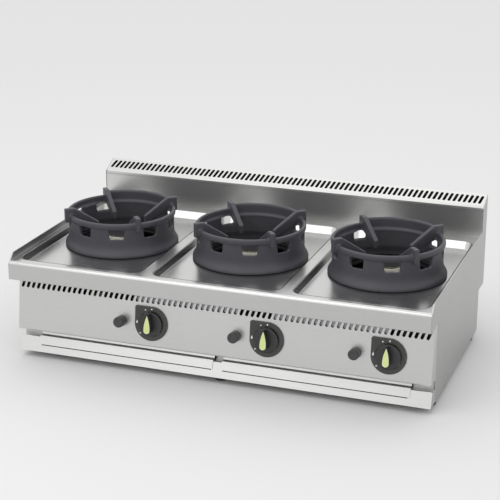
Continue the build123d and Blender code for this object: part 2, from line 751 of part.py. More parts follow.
def ring_shield():
    """Raised rear quadrant of the band."""
    low = RING_TOP_Z - RING_BAND_EDGE
    high = RING_TOP_Z + RING_SHIELD_RISE
    section = [
        (BAND_INNER, low),
        (BAND_RADIUS, low),
        (BAND_RADIUS, high - RING_BAND_EDGE),
        (BAND_RADIUS - RING_BAND_EDGE, high),
        (BAND_INNER, high),
    ]
    face = Plane.XZ * make_face(Polyline(*section, close=True))
    quadrant = revolve(face, axis=Axis.Z, revolution_arc=RING_SHIELD_ANGLE)
    return Rot(0, 0, 90 - RING_SHIELD_ANGLE / 2) * quadrant


def wok_ring(x):
    """Cast ring with windows, four arms and a raised rear quadrant."""
    ring = revolve(ring_section(), axis=Axis.Z) + ring_shield()
    first = -(WINDOW_COUNT - 1) / 2 * WINDOW_PITCH
    ring = ring - [ring_window(first + k * WINDOW_PITCH) for k in range(WINDOW_COUNT)]
    arm = ring_arm()
    step = 360 / ARM_COUNT
    ring = ring + [Rot(0, 0, step / 2 + k * step) * arm for k in range(ARM_COUNT)]
    return Pos(x, back(BURNER_Y), 0) * ring


# ---------------------------------------------------------------- burners


def burner_rails():
    """Two angle rails that carry the burner flanges."""
    x_range = (SEAM - INSIDE_X, INSIDE_X - SEAM)
    rails = []
    for sense in (-1, 1):
        middle = BURNER_Y + sense * RAIL_OFFSET
        outer = middle + sense * RAIL_LEG / 2
        leg = sorted((outer, outer - sense * RAIL_THICK))
        shelf_y = (middle - RAIL_LEG / 2, middle + RAIL_LEG / 2)
        shelf = block(x_range, shelf_y, (BURNER_SEAT_Z - RAIL_THICK, BURNER_SEAT_Z))
        rails.append(shelf + block(x_range, leg, (BURNER_SEAT_Z - RAIL_LEG, BURNER_SEAT_Z)))
    return rails


def burner_body(x):
    """Cast burner: open head, seat flange and a mixing tube that runs to the front."""
    y = back(BURNER_Y)
    bell_y = back(BELL_Y)
    flange_top = BURNER_SEAT_Z + BURNER_FLANGE_THICK
    head_low = BURNER_SEAT_Z - BURNER_WALL
    head = rod(BURNER_RADIUS, (x, y, head_low), (x, y, BURNER_TOP_Z))
    flange = block(
        (x - BURNER_FLANGE_X, x + BURNER_FLANGE_X),
        (BURNER_Y - BURNER_FLANGE_Y, BURNER_Y + BURNER_FLANGE_Y),
        (BURNER_SEAT_Z, flange_top),
    )
    neck = bar(NECK_RADIUS, (x, y, MIXER_Z - NECK_RADIUS), (x, y, head_low + PAST))
    tube = bar(MIXER_RADIUS, (x, y, MIXER_Z), (x, bell_y, MIXER_Z))
    bell = bar(BELL_RADIUS, (x, bell_y + BELL_LENGTH, MIXER_Z), (x, bell_y, MIXER_Z))
    casting = head + flange + neck + tube + bell
    bowl = rod(BURNER_RADIUS - BURNER_WALL, (x, y, flange_top), (x, y, BURNER_TOP_Z + PAST))
    riser = bar(MIXER_BORE, (x, y, MIXER_Z), (x, y, flange_top + PAST))
    throat = bar(MIXER_BORE, (x, y, MIXER_Z), (x, bell_y - PAST, MIXER_Z))
    mouth_start = (x, bell_y + BELL_MOUTH, MIXER_Z)
    mouth = bar(BELL_RADIUS - BELL_WALL, mouth_start, (x, bell_y - PAST, MIXER_Z))
    return casting - bowl - riser - throat - mouth


def burner_cap(x):
    """Lift-off cap with a toothed flame gap and a locating skirt."""
    y = back(BURNER_Y)
    seat = BURNER_TOP_Z + MOVING_GAP
    plate_low = seat + CAP_GAP
    skirt_radius = BURNER_RADIUS - BURNER_WALL - 2 * MOVING_GAP
    plate = rod(CAP_RADIUS, (x, y, plate_low), (x, y, plate_low + CAP_THICK))
    skirt = rod(skirt_radius, (x, y, seat - CAP_SKIRT_DEPTH), (x, y, plate_low + PAST))
    inside_low = (x, y, seat - CAP_SKIRT_DEPTH - PAST)
    skirt = skirt - rod(skirt_radius - CAP_SKIRT_WALL, inside_low, (x, y, plate_low))
    reach = skirt_radius + TOOTH_GAP + TOOTH_LENGTH / 2
    tooth = Pos(reach, 0, seat + (CAP_GAP + PAST) / 2) * Box(TOOTH_LENGTH, TOOTH_WIDTH, CAP_GAP + PAST)
    turn = 360 / CAP_TEETH
    teeth = [Pos(x, y, 0) * Rot(0, 0, k * turn) * tooth for k in range(CAP_TEETH)]
    return plate + skirt + teeth


def pilot_unit(x):
    """Pilot burner, thermocouple and spark electrode on one bracket."""
    y = back(BURNER_Y)
    low = BURNER_SEAT_Z + BURNER_FLANGE_THICK
    centre = x - BURNER_RADIUS - PILOT_GAP
    unit = Pos(centre, y, low + PILOT_BRACKET[2] / 2) * Box(*PILOT_BRACKET)
    for shift, radius, height in PILOT_RODS:
        start = (centre, y + shift, low + PAST)
        unit = unit + bar(radius, start, (centre, y + shift, low + height), NUT_SIDES)
    return unit


# ---------------------------------------------------------------- gas line


def on_panel(x, down, out):
    """Point at x, a distance down the control panel and a height out of its face."""
    point = PANEL.from_local_coords(Vector(x, -down, out))
    return (point.X, point.Y, point.Z)


def manifold_place():
    """Frame Y and Z of the gas rail's centre line, below the valves."""
    point = on_panel(0, KNOB_DOWN, -MANIFOLD_BACK)
    return point[1], point[2] - MANIFOLD_DROP


def gas_manifold():
    """Gas rail along the front with bosses for the valves, run to the rear inlet."""
    y, z = manifold_place()
    start = (KNOB_X[0] - MANIFOLD_START, y, z)
    corner = (INLET_X, y, z)
    thread_start = (INLET_X, back(INLET_END_Y) - INLET_THREAD_LENGTH, z)
    end = (INLET_X, back(INLET_END_Y), z)
    rail = bar(MANIFOLD_RADIUS, start, (INLET_X + MANIFOLD_RADIUS, y, z))
    run = bar(MANIFOLD_RADIUS, corner, thread_start)
    tube = rail + run + rod(INLET_THREAD_RADIUS, thread_start, end)
    for x in KNOB_X:
        tube = tube + bar(MANIFOLD_BOSS_RADIUS, (x, y, z), (x, y, z + MANIFOLD_BOSS), NUT_SIDES)
    rail_bore = bar(MANIFOLD_BORE, (start[0] + MANIFOLD_RADIUS, y, z), corner, NUT_SIDES)
    run_bore = bar(MANIFOLD_BORE, corner, (INLET_X, end[1] + PAST, z), NUT_SIDES)
    return tube - rail_bore - run_bore


def gas_valve(x):
    """Valve body: stem neck at the front, plug chamber, rear inlet and top outlet."""
    front, middle, rear = [
        on_panel(x, KNOB_DOWN, -depth) for depth in (SHEET, VALVE_NECK_BACK, VALVE_END_BACK)
    ]
    y, z = manifold_place()
    neck = bar(VALVE_NECK_RADIUS, front, middle, NUT_SIDES)
    body = bar(VALVE_RADIUS, middle, rear)
    inlet_top = (x, y, z + MANIFOLD_DROP - PLUG_RADIUS - VALVE_INLET_GAP)
    inlet = bar(VALVE_INLET_RADIUS, (x, y, z + MANIFOLD_BOSS), inlet_top, NUT_SIDES)
    outlet_low = valve_outlet(x, VALVE_OUTLET_LENGTH)
    outlet = bar(VALVE_OUTLET_RADIUS, outlet_low, valve_outlet(x, 0), NUT_SIDES)
    valve = neck + body + inlet + outlet
    chamber_ends = [on_panel(x, KNOB_DOWN, -depth) for depth in (PLUG_FRONT_BACK, PLUG_REAR_BACK)]
    chamber = rod(PLUG_RADIUS + RUNNING_GAP, *chamber_ends)
    stem_end = on_panel(x, KNOB_DOWN, -PLUG_FRONT_BACK - PAST / 2)
    stem = bar(SPINDLE_RADIUS + MOVING_GAP, on_panel(x, KNOB_DOWN, 0), stem_end)
    return valve - chamber - stem


def valve_outlet(x, below):
    """Point on the valve's upright outlet, a distance below its open end."""
    centre = on_panel(x, KNOB_DOWN, -VALVE_OUTLET_BACK)
    return (x, centre[1], centre[2] + VALVE_RADIUS + VALVE_OUTLET_RISE - below)


def valve_plug(x):
    """Turning plug inside the valve, bored for the sliding end of the spindle."""
    front = PLUG_FRONT_BACK + MOVING_GAP
    rear = PLUG_REAR_BACK - MOVING_GAP
    plug = rod(PLUG_RADIUS, on_panel(x, KNOB_DOWN, -front), on_panel(x, KNOB_DOWN, -rear))
    bore_ends = [on_panel(x, KNOB_DOWN, -depth) for depth in (front - PAST, PLUG_BORE_BACK)]
    return plug - bar(SPINDLE_RADIUS + MOVING_GAP, *bore_ends, NUT_SIDES)


def burner_pipe(x_valve, x_burner):
    """Bent tube from a valve outlet to the jet holder in front of a mixing tube."""
    start = valve_outlet(x_valve, 0)
    front_y = back(BELL_Y) + JET_INSIDE
    points = [
        start,
        (x_valve, start[1], MIXER_Z),
        (x_burner, start[1], MIXER_Z),
        (x_burner, front_y - JET_HOLDER_LENGTH, MIXER_Z),
    ]
    section = Plane(origin=start, z_dir=(0, 0, 1)) * RegularPolygon(PIPE_RADIUS, TUBE_SIDES)
    tube = sweep(section, path=Polyline(*points), transition=Transition.RIGHT)
    holder_end = (x_burner, front_y, MIXER_Z)
    holder = bar(JET_HOLDER_RADIUS, points[-1], holder_end, NUT_SIDES)
    jet = bar(JET_RADIUS, holder_end, (x_burner, front_y + JET_LENGTH, MIXER_Z), NUT_SIDES)
    return tube + holder + jet


def heat_shield():
    """Sheet behind the front slots, tall only where the slots show grey."""
    y_range = (SHIELD_Y, SHIELD_Y + SHEET)
    reach = INSIDE_X - SEAM
    shield = block((-reach, reach), y_range, (SHIELD_BOTTOM_Z, SHIELD_BOTTOM_Z + SHIELD_STRIP))
    for x in WELL_X[1:]:
        x_range = (x - SHIELD_PLATE_LEFT, x + SHIELD_PLATE_RIGHT)
        shield = shield + block(x_range, y_range, (SHIELD_BOTTOM_Z, SHIELD_TOP_Z))
    half = PIPE_RADIUS + SHIELD_PASS_GAP
    cut_y = (SHIELD_Y - PAST, SHIELD_Y + SHEET + PAST)
    cut_z = (MIXER_Z - half, MIXER_Z + half)
    return shield - [block((x - half, x + half), cut_y, cut_z) for x in WELL_X]


# ---------------------------------------------------------------- controls


def dial_plate(x):
    """Bezel plate with a square upper left corner and a round seat for the knob."""
    corner = Pos(-DIAL_RADIUS / 2, DIAL_RADIUS / 2) * Rectangle(DIAL_RADIUS, DIAL_RADIUS)
    face = Circle(DIAL_RADIUS) + corner - Circle(KNOB_RADIUS + 2 * MOVING_GAP)
    return PANEL * Pos(x, -KNOB_DOWN, 0) * extrude(face, amount=DIAL_THICK)


def pointer_outline(border):
    """Drop shape: a round tail that narrows in straight sides to a point above."""
    centre = POINTER_HALF_WIDTH - POINTER_TAIL
    reach = POINTER_TIP - centre
    lean = asin(POINTER_HALF_WIDTH / reach)
    radius = POINTER_HALF_WIDTH + border
    side = (radius * cos(lean), centre + radius * sin(lean))
    other_side = (-side[0], side[1])
    tip = (0, centre + radius / sin(lean))
    tail = ThreePointArc(side, (0, centre - radius), other_side)
    return make_face([Line(tip, side), tail, Line(other_side, tip)])


def knob(x):
    """Round skirt with a drop-shaped grip and a blind bore for the spindle."""
    skirt_low = KNOB_SKIRT_TOP - KNOB_SKIRT_THICK
    skirt = extrude(Pos(0, 0, skirt_low) * Circle(KNOB_RADIUS), amount=KNOB_SKIRT_THICK)
    skirt = chamfer(skirt.edges().group_by(Axis.Z)[-1], KNOB_EDGE)
    grip_top = GRIP_TOP - POINTER_THICK
    grip_low = KNOB_SKIRT_TOP - GRIP_ROOT
    grip = extrude(Pos(0, 0, grip_low) * pointer_outline(GRIP_BORDER), amount=grip_top - grip_low)
    bore = rod(SPINDLE_RADIUS + RUNNING_GAP, (0, 0, 0), (0, 0, grip_top - SPINDLE_TOP_WALL))
    return PANEL * Pos(x, -KNOB_DOWN, 0) * (skirt + grip - bore)


def knob_pointer(x):
    """Pale inlay on the front of the grip."""
    inlay = extrude(Pos(0, 0, GRIP_TOP - POINTER_THICK) * pointer_outline(0), amount=POINTER_THICK)
    return PANEL * Pos(x, -KNOB_DOWN, 0) * inlay


def valve_spindle(x):
    """Spindle from the knob's bore to the plug; it slides in with the knob."""
    inner = on_panel(x, KNOB_DOWN, -SPINDLE_END_BACK)
    outer = on_panel(x, KNOB_DOWN, GRIP_TOP - POINTER_THICK - SPINDLE_TOP_WALL)
    return rod(SPINDLE_RADIUS, inner, outer)


def igniter_button(x):
    """Push button that slides through the panel into its housing."""
    button = rod(BUTTON_RADIUS, (0, 0, -BUTTON_INSIDE), (0, 0, BUTTON_REACH))
    button = chamfer(button.edges().group_by(Axis.Z)[-1], BUTTON_EDGE)
    return PANEL * Pos(x - BUTTON_SIDESTEP, -BUTTON_DOWN, 0) * button


def igniter_body(x):
    """Spark generator housing behind the panel, open at the front for the button."""
    housing = bar(BUTTON_RADIUS + IGNITER_WALL, (0, 0, -SHEET), (0, 0, -IGNITER_LENGTH))
    bore_end = BUTTON_INSIDE + BUTTON_TRAVEL + IGNITER_END_ROOM
    bore = rod(BUTTON_RADIUS + MOVING_GAP, (0, 0, 0), (0, 0, -bore_end))
    return PANEL * Pos(x - BUTTON_SIDESTEP, -BUTTON_DOWN, 0) * (housing - bore)


# ---------------------------------------------------------------- feet


def foot(x, y):
    """Levelling foot: round pad and lock nut on a screw that runs in the base plate's nut."""
    place = (x, back(y))
    pad = rod(FOOT_RADIUS, (*place, 0), (*place, FOOT_PAD_HEIGHT))
    lock_top = FOOT_GAP - 2 * MOVING_GAP
    lock_nut = bar(FOOT_LOCK_NUT_RADIUS, (*place, FOOT_PAD_HEIGHT), (*place, lock_top), NUT_SIDES)
    stud = rod(FOOT_STUD_RADIUS, (*place, FOOT_PAD_HEIGHT), (*place, FOOT_STUD_TOP_Z))
    return pad + lock_nut + stud


# ---------------------------------------------------------------- assembly


def build():
    """Make every node of the range."""
    keep("hob_top", hob_top())
    keep("splashback", splashback())
    keep("flue_grille", flue_grille())
    cheek = flue_cheek()
    keep("flue_cheek_right", cheek)
    keep("flue_cheek_left", mirrored(cheek))
    keep("flue_back", flue_back())
    keep("back_panel", back_panel())
    side = side_panel()
    keep("side_panel_right", side)
    keep("side_panel_left", mirrored(side))
    keep("control_panel", control_panel())
    keep("plinth", plinth())
    keep("front_crossmember", *front_crossmember())
    keep("base_plate", base_plate())
    keep("burner_rails", *burner_rails())
    keep("gas_manifold", gas_manifold())
    keep("heat_shield", heat_shield())
    keep("tray_runners", *tray_runners())
    tray = drip_tray()
    keep("drip_tray_right", tray)
    keep("drip_tray_left", mirrored(tray))
    keep("burner_pipes", *[burner_pipe(a, b) for a, b in zip(KNOB_X, WELL_X)])
    keep("pilot_units", *[pilot_unit(x) for x in WELL_X])
    keep("dial_plates", *[dial_plate(x) for x in KNOB_X])
    keep("igniter_bodies", *[igniter_body(x) for x in KNOB_X])
    for number, (well, control) in enumerate(zip(WELL_X, KNOB_X), start=1):
        keep(f"well_pan_{number}", well_pan(well))
        keep(f"burner_body_{number}", burner_body(well))
        keep(f"burner_cap_{number}", burner_cap(well))
        keep(f"wok_ring_{number}", wok_ring(well))
        keep(f"gas_valve_{number}", gas_valve(control))
        keep(f"valve_plug_{number}", valve_plug(control))
        keep(f"valve_spindle_{number}", valve_spindle(control))
        keep(f"knob_{number}", knob(control))
        keep(f"knob_pointer_{number}", knob_pointer(control))
        keep(f"igniter_button_{number}", igniter_button(control))
    for number, (x, y) in enumerate(FOOT_PLACES, start=1):
        keep(f"foot_{number}", foot(x, y))


os.makedirs("parts", exist_ok=True)
build()
for name, shape in NODES.items():
    export_step(shape, f"parts/{name}.step")
print(len(NODES), "nodes written")
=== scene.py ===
import json
import logging
import math
from dataclasses import dataclass, field
from enum import Enum

import bmesh
import bpy
from mathutils import Matrix, Vector


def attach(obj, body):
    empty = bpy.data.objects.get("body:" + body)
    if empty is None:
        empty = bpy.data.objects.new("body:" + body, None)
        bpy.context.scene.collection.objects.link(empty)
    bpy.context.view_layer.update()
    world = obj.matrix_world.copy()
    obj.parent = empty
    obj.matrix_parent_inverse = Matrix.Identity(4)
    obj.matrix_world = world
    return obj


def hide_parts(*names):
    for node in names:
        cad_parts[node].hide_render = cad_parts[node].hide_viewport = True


# Three-burner gas wok range top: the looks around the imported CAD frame.
#
# Sizes are in millimetres: X to the right, Y towards the back from the fascia's front face,
# Z up from the ground.  place_in_frame() turns them into the frame's metres.

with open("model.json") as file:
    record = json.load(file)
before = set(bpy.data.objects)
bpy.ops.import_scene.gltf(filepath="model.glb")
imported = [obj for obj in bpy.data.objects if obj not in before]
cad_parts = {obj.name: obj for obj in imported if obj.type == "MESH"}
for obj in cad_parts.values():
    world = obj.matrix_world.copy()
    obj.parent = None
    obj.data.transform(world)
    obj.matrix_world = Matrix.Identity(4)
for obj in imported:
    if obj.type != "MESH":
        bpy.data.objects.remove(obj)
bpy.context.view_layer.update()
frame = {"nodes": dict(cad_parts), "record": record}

LOG = logging.getLogger("wok_range")
logging.basicConfig(level=logging.INFO, format="%(message)s")

MM = 0.001
HALF_DEPTH = 350.0
HALF_WIDTH = 600.0
SHEET = 1.5
SIDES = (("left", -1.0), ("right", 1.0))
WELL_XS = (-400.0, 0.0, 400.0)
BURNER_Y = 322.0
SPLASH_Y = 643.0
FASCIA_LOW = 246.4
FOOT_PLACES = ((-578.0, 118.0), (0.0, 82.0), (578.0, 118.0), (-578.0, 590.0), (0.0, 590.0), (578.0, 590.0))

# The control panel's own frame: its origin on the panel's face under the fascia, Z out of the panel.
PANEL_Y = 58.4
PANEL_LEAN_DEG = 7.5
PANEL_TURN = Matrix.Rotation(math.radians(90 - PANEL_LEAN_DEG), 4, "X")
PANEL_PLACE = Matrix.Translation((0, PANEL_Y, FASCIA_LOW)) @ PANEL_TURN
KNOB_XS = (-190.0, 145.5, 481.0)
KNOB_DOWN = 96.0
BUTTON_DOWN = 98.0
BUTTON_SIDESTEP = 89.0

SLOT_SIDES = 12
FLAT_BREADTH = 3.5  # a broader face is a flat field, a narrower one part of a bend
FLAT_DEG = 1.5  # faces that meet at less than this are one field

Loop = list[tuple[float, float]]
Point = tuple[float, float, float]
BMesh = bmesh.types.BMesh
Vert = bmesh.types.BMVert
Edge = bmesh.types.BMEdge
Face = bmesh.types.BMFace
Material = bpy.types.Material
Tree = bpy.types.NodeTree
Node = bpy.types.Node
Socket = bpy.types.NodeSocket


class Grain(Enum):
    """The direction in which a sheet was brushed."""

    ALONG_X = (0.02, 1.0, 1.0)
    ALONG_Y = (1.0, 0.02, 1.0)


# ------------------------------------------------------------------ materials


def linear(hex_colour: str, gain: float = 1.0) -> tuple[float, float, float, float]:
    """Turn an sRGB hex colour into Blender's linear one.

    Args:
        hex_colour: six hex digits, such as "c8c8c6".
        gain: how many times as bright the result is.

    Returns:
        Red, green, blue and alpha, each 0 to 1.
    """
    parts = [int(hex_colour[k : k + 2], 16) / 255 for k in (0, 2, 4)]
    red, green, blue = (p / 12.92 if p <= 0.04045 else ((p + 0.055) / 1.055) ** 2.4 for p in parts)
    return (gain * red, gain * green, gain * blue, 1.0)


def add_node(
    tree: Tree, kind: str, inputs: dict[str | int, object] | None = None, **settings: object
) -> Node:
    """Add a shader node with its settings, values and links.

    Args:
        tree: the material's node tree.
        kind: Blender's name of the node class, such as "ShaderNodeBump".
        inputs: for each input, a value, a socket to link from, or a node for its first socket.
        settings: properties of the node.

    Returns:
        The new node.
    """
    node = tree.nodes.new(kind)
    for name, value in settings.items():
        setattr(node, name, value)
    for name, value in (inputs or {}).items():
        if isinstance(value, Node):
            value = value.outputs[0]
        if isinstance(value, Socket):
            tree.links.new(value, node.inputs[name])
        else:
            node.inputs[name].default_value = value
    return node


def new_material(name: str) -> tuple[Material, Tree, Socket]:
    """Start an empty node material.

    Args:
        name: the material's name.

    Returns:
        The material, its tree and the socket that gives Object coordinates.
    """
    material = bpy.data.materials.new(name)
    material.use_nodes = True
    material.node_tree.nodes.clear()
    coordinates = add_node(material.node_tree, "ShaderNodeTexCoord")
    return material, material.node_tree, coordinates.outputs["Object"]


@dataclass(frozen=True)
class BrushedSteel:
    """Stainless steel sheet, brushed with a belt: fine parallel lines, soft wide reflections."""

    name: str
    grain: Grain
    colour: str = "cacac9"
    roughness: float = 0.34
    line_mm: float = 0.9  # real lines are about 0.2 mm apart; drawn coarser to show
    cloud_mm: float = 240.0
    depth: float = 0.03
    # The colour of painted shade, for the finishes that have some.
    painted_shade_colour: str = "3e3d3f"

    def painted_shade_share(self, tree: Tree, place: Socket) -> Node | None:
        """Say where painted shade darkens the sheet; plain sheet has no such place."""
        return None

    def material(self) -> Material:
        """Build the material: line noise for roughness and bump, slow clouds for handling.

        Returns:
            The material.
        """
        material, tree, place = new_material(self.name)
        across = 1 / (self.line_mm * MM)
        scale = tuple(across * share for share in self.grain.value)
        stretched = add_node(tree, "ShaderNodeMapping", {"Vector": place, "Scale": scale})
        inputs = {"Vector": stretched, "Scale": 1.0, "Detail": 3.0, "Roughness": 0.6}
        lines = add_node(tree, "ShaderNodeTexNoise", inputs)
        inputs = {"Vector": place, "Scale": 1 / (self.cloud_mm * MM), "Detail": 2.0}
        clouds = add_node(tree, "ShaderNodeTexNoise", inputs)
        low, high = self.roughness - 0.02, self.roughness + 0.03
        from_lines = add_node(tree, "ShaderNodeMapRange", {0: lines, 1: 0.3, 2: 0.7, 3: low, 4: high})
        from_clouds = add_node(tree, "ShaderNodeMapRange", {0: clouds, 1: 0.3, 2: 0.7, 3: -0.01, 4: 0.015})
        rough = add_node(tree, "ShaderNodeMath", {0: from_lines, 1: from_clouds}, operation="ADD")
        share = add_node(tree, "ShaderNodeMapRange", {0: lines, 1: 0.35, 2: 0.65})
        inputs = {"Factor": share, 6: linear(self.colour), 7: linear(self.colour, 0.95)}
        tint = add_node(tree, "ShaderNodeMix", inputs, data_type="RGBA")
        # Mix in the painted shade, and make it rougher there.
        shade_part = self.painted_shade_share(tree, place)
        if shade_part is not None:
            inputs = {"Factor": shade_part, 6: tint.outputs[2], 7: linear(self.painted_shade_colour)}
            tint = add_node(tree, "ShaderNodeMix", inputs, data_type="RGBA")
            dulled = add_node(tree, "ShaderNodeMapRange", {0: shade_part, 4: 0.2})
            rough = add_node(tree, "ShaderNodeMath", {0: rough, 1: dulled}, operation="ADD")
        inputs = {"Height": lines, "Strength": self.depth, "Distance": 0.0004}
        bump = add_node(tree, "ShaderNodeBump", inputs)
        inputs = {"Base Color": tint.outputs[2], "Metallic": 1.0, "Roughness": rough, "Normal": bump}
        shader = add_node(tree, "ShaderNodeBsdfPrincipled", inputs)
        add_node(tree, "ShaderNodeOutputMaterial", {"Surface": shader})
        return material


@dataclass(frozen=True)
class RingShadeSteel(BrushedSteel):
    """Stainless deck sheet, painted dark as shade in a disc about each burner, under the ring that stands
    there.
    """

    reach_mm: float = 150.0
    fade_mm: float = 14.0

    def painted_shade_share(self, tree: Tree, place: Socket) -> Node:
        """Mark the painted shade: a disc about each burner's axis, where X is wrapped to the nearest burner.

        Args:
            tree: the material's node tree.
            place: Object coordinates.

        Returns:
            The node that gives 1 on the disc and 0 elsewhere.
        """
        half_pitch = (WELL_XS[1] - WELL_XS[0]) / 2 * MM
        x, y, _ = add_node(tree, "ShaderNodeSeparateXYZ", {0: place}).outputs
        inputs = {0: x, 1: half_pitch, 2: -half_pitch}
        beside = add_node(tree, "ShaderNodeMath", inputs, operation="WRAP")
        inputs = {0: y, 1: (HALF_DEPTH - BURNER_Y) * MM}
        behind = add_node(tree, "ShaderNodeMath", inputs, operation="ADD")
        flat = add_node(tree, "ShaderNodeCombineXYZ", {0: beside, 1: behind})
        away = add_node(tree, "ShaderNodeVectorMath", {0: flat}, operation="LENGTH").outputs["Value"]
        inputs = {0: away, 1: self.reach_mm * MM, 2: (self.reach_mm - self.fade_mm) * MM}
        return add_node(tree, "ShaderNodeMapRange", inputs)


@dataclass(frozen=True)
class FlueShadeSteel(BrushedSteel):
    """Stainless flue sheet, bright outside, with painted shade on its inner face."""

    inner_from_mm: float = 0.0
    inner_to_mm: float = 0.0

    def painted_shade_share(self, tree: Tree, place: Socket) -> Node:
        """Mark the inner face, which gets the painted shade, by its depth.

        Args:
            tree: the material's node tree.
            place: Object coordinates.

        Returns:
            The node that gives 1 on the inner face and 0 on the outer one.
        """
        depth = add_node(tree, "ShaderNodeSeparateXYZ", {0: place}).outputs[1]
        start = (self.inner_from_mm - HALF_DEPTH) * MM
        end = (self.inner_to_mm - HALF_DEPTH) * MM
        return add_node(tree, "ShaderNodeMapRange", {0: depth, 1: start, 2: end})


@dataclass(frozen=True)
class EnamelledIron:
    """Grey cast iron under matt vitreous enamel: sand-cast grain, soft broad sheen."""

    name: str
    colour: str = "3b3a40"
    roughness: float = 0.5
    grit_mm: float = 1.6
    swell_mm: float = 26.0

    def material(self) -> Material:
        """Build the material: fine grit and slow swells of the mould in bump and roughness.

        Returns:
            The material.
        """
        material, tree, place = new_material(self.name)
        inputs = {"Vector": place, "Scale": 1 / (self.grit_mm * MM), "Detail": 4.0, "Roughness": 0.6}
        grit = add_node(tree, "ShaderNodeTexNoise", inputs)
        inputs = {"Vector": place, "Scale": 1 / (self.swell_mm * MM), "Detail": 2.0}
        swell = add_node(tree, "ShaderNodeTexNoise", inputs)
        fine = add_node(tree, "ShaderNodeBump", {"Height": grit, "Strength": 0.16, "Distance": 0.0005})
        inputs = {"Height": swell, "Strength": 0.12, "Distance": 0.002, "Normal": fine}
        bump = add_node(tree, "ShaderNodeBump", inputs)
        share = add_node(tree, "ShaderNodeMapRange", {0: swell, 1: 0.35, 2: 0.65})
        inputs = {"Factor": share, 6: linear(self.colour), 7: linear(self.colour, 1.1)}
        tint = add_node(tree, "ShaderNodeMix", inputs, data_type="RGBA")
        low, high = self.roughness - 0.05, self.roughness + 0.06
        rough = add_node(tree, "ShaderNodeMapRange", {0: grit, 1: 0.3, 2: 0.7, 3: low, 4: high})
        inputs = {"Metallic": 0.0, "IOR": 1.5, "Roughness": rough, "Normal": bump}
        inputs["Base Color"] = tint.outputs[2]
        shader = add_node(tree, "ShaderNodeBsdfPrincipled", inputs)
        add_node(tree, "ShaderNodeOutputMaterial", {"Surface": shader})
        return material


@dataclass(frozen=True)
class SpeckledFinish:
    """A plain moulded, cast, coated or turned surface with fine grain and slow colour drift."""

    name: str
    colour: str
    second_colour: str
    metallic: float = 0.0
    ior: float = 1.5
    roughness: float = 0.4
    grain_mm: float = 0.8
    drift_mm: float = 30.0
    bump: float = 0.08
    spangle_mm: float = 0.0

    def overlay(self, tree: Tree, place: Socket, tint: Node) -> Node:
        """Give the colour as it is; a finish with a second zone changes it here."""
        return tint

    def material(self) -> Material:
        """Build the material: grain in bump, drift or zinc spangle in colour and roughness.

        Returns:
            The material.
        """
        material, tree, place = new_material(self.name)
        inputs = {"Vector": place, "Scale": 1 / (self.grain_mm * MM), "Detail": 3.0}
        grain = add_node(tree, "ShaderNodeTexNoise", inputs)
        if self.spangle_mm:
            inputs = {"Vector": place, "Scale": 1 / (self.spangle_mm * MM)}
            cells = add_node(tree, "ShaderNodeTexVoronoi", inputs)
            drift = add_node(tree, "ShaderNodeSeparateColor", {0: cells.outputs["Color"]})
        else:
            inputs = {"Vector": place, "Scale": 1 / (self.drift_mm * MM), "Detail": 2.0}
            drift = add_node(tree, "ShaderNodeTexNoise", inputs)
        share = add_node(tree, "ShaderNodeMapRange", {0: drift, 1: 0.3, 2: 0.7})
        inputs = {"Factor": share, 6: linear(self.colour), 7: linear(self.second_colour)}
        tint = self.overlay(tree, place, add_node(tree, "ShaderNodeMix", inputs, data_type="RGBA"))
        inputs = {"Height": grain, "Strength": self.bump, "Distance": 0.0003}
        bump = add_node(tree, "ShaderNodeBump", inputs)
        low, high = self.roughness - 0.04, self.roughness + 0.05
        rough = add_node(tree, "ShaderNodeMapRange", {0: drift, 1: 0.3, 2: 0.7, 3: low, 4: high})
        inputs = {"Metallic": self.metallic, "Roughness": rough, "Normal": bump}
        inputs["Base Color"] = tint.outputs[2]
        if not self.metallic:
            inputs["IOR"] = self.ior
        shader = add_node(tree, "ShaderNodeBsdfPrincipled", inputs)
        add_node(tree, "ShaderNodeOutputMaterial", {"Surface": shader})
        return material


@dataclass(frozen=True)
class BlackenedCap(SpeckledFinish):
    """Pressed steel flame cap: burnt black on top, with a painted highlight on its lower rim and below it."""

    rim_top_mm: float = 312.5
    rim_fade_mm: float = 0.3
    # The painted highlight along the lower rim and below it.
    rim_highlight_colour: str = "e4e1d4"

    def overlay(self, tree: Tree, place: Socket, tint: Node) -> Node:
        """Paint a highlight on the stretch below the rim's top.

        Args:
            tree: the material's node tree.
            place: Object coordinates.
            tint: the Mix node that gives the burnt colour.

        Returns:
            The Mix node that gives the black top and the painted highlight.
        """
        height = add_node(tree, "ShaderNodeSeparateXYZ", {0: place}).outputs[2]
        inputs = {0: height, 1: self.rim_top_mm * MM, 2: (self.rim_top_mm - self.rim_fade_mm) * MM}
        share = add_node(tree, "ShaderNodeMapRange", inputs)
        inputs = {"Factor": share, 6: tint.outputs[2], 7: linear(self.rim_highlight_colour)}
        return add_node(tree, "ShaderNodeMix", inputs, data_type="RGBA")


def made(finish: BrushedSteel | EnamelledIron | SpeckledFinish) -> Material:
    """Hold a finish's place in Finishes: its material is built when Finishes is."""
    return field(default_factory=finish.material)


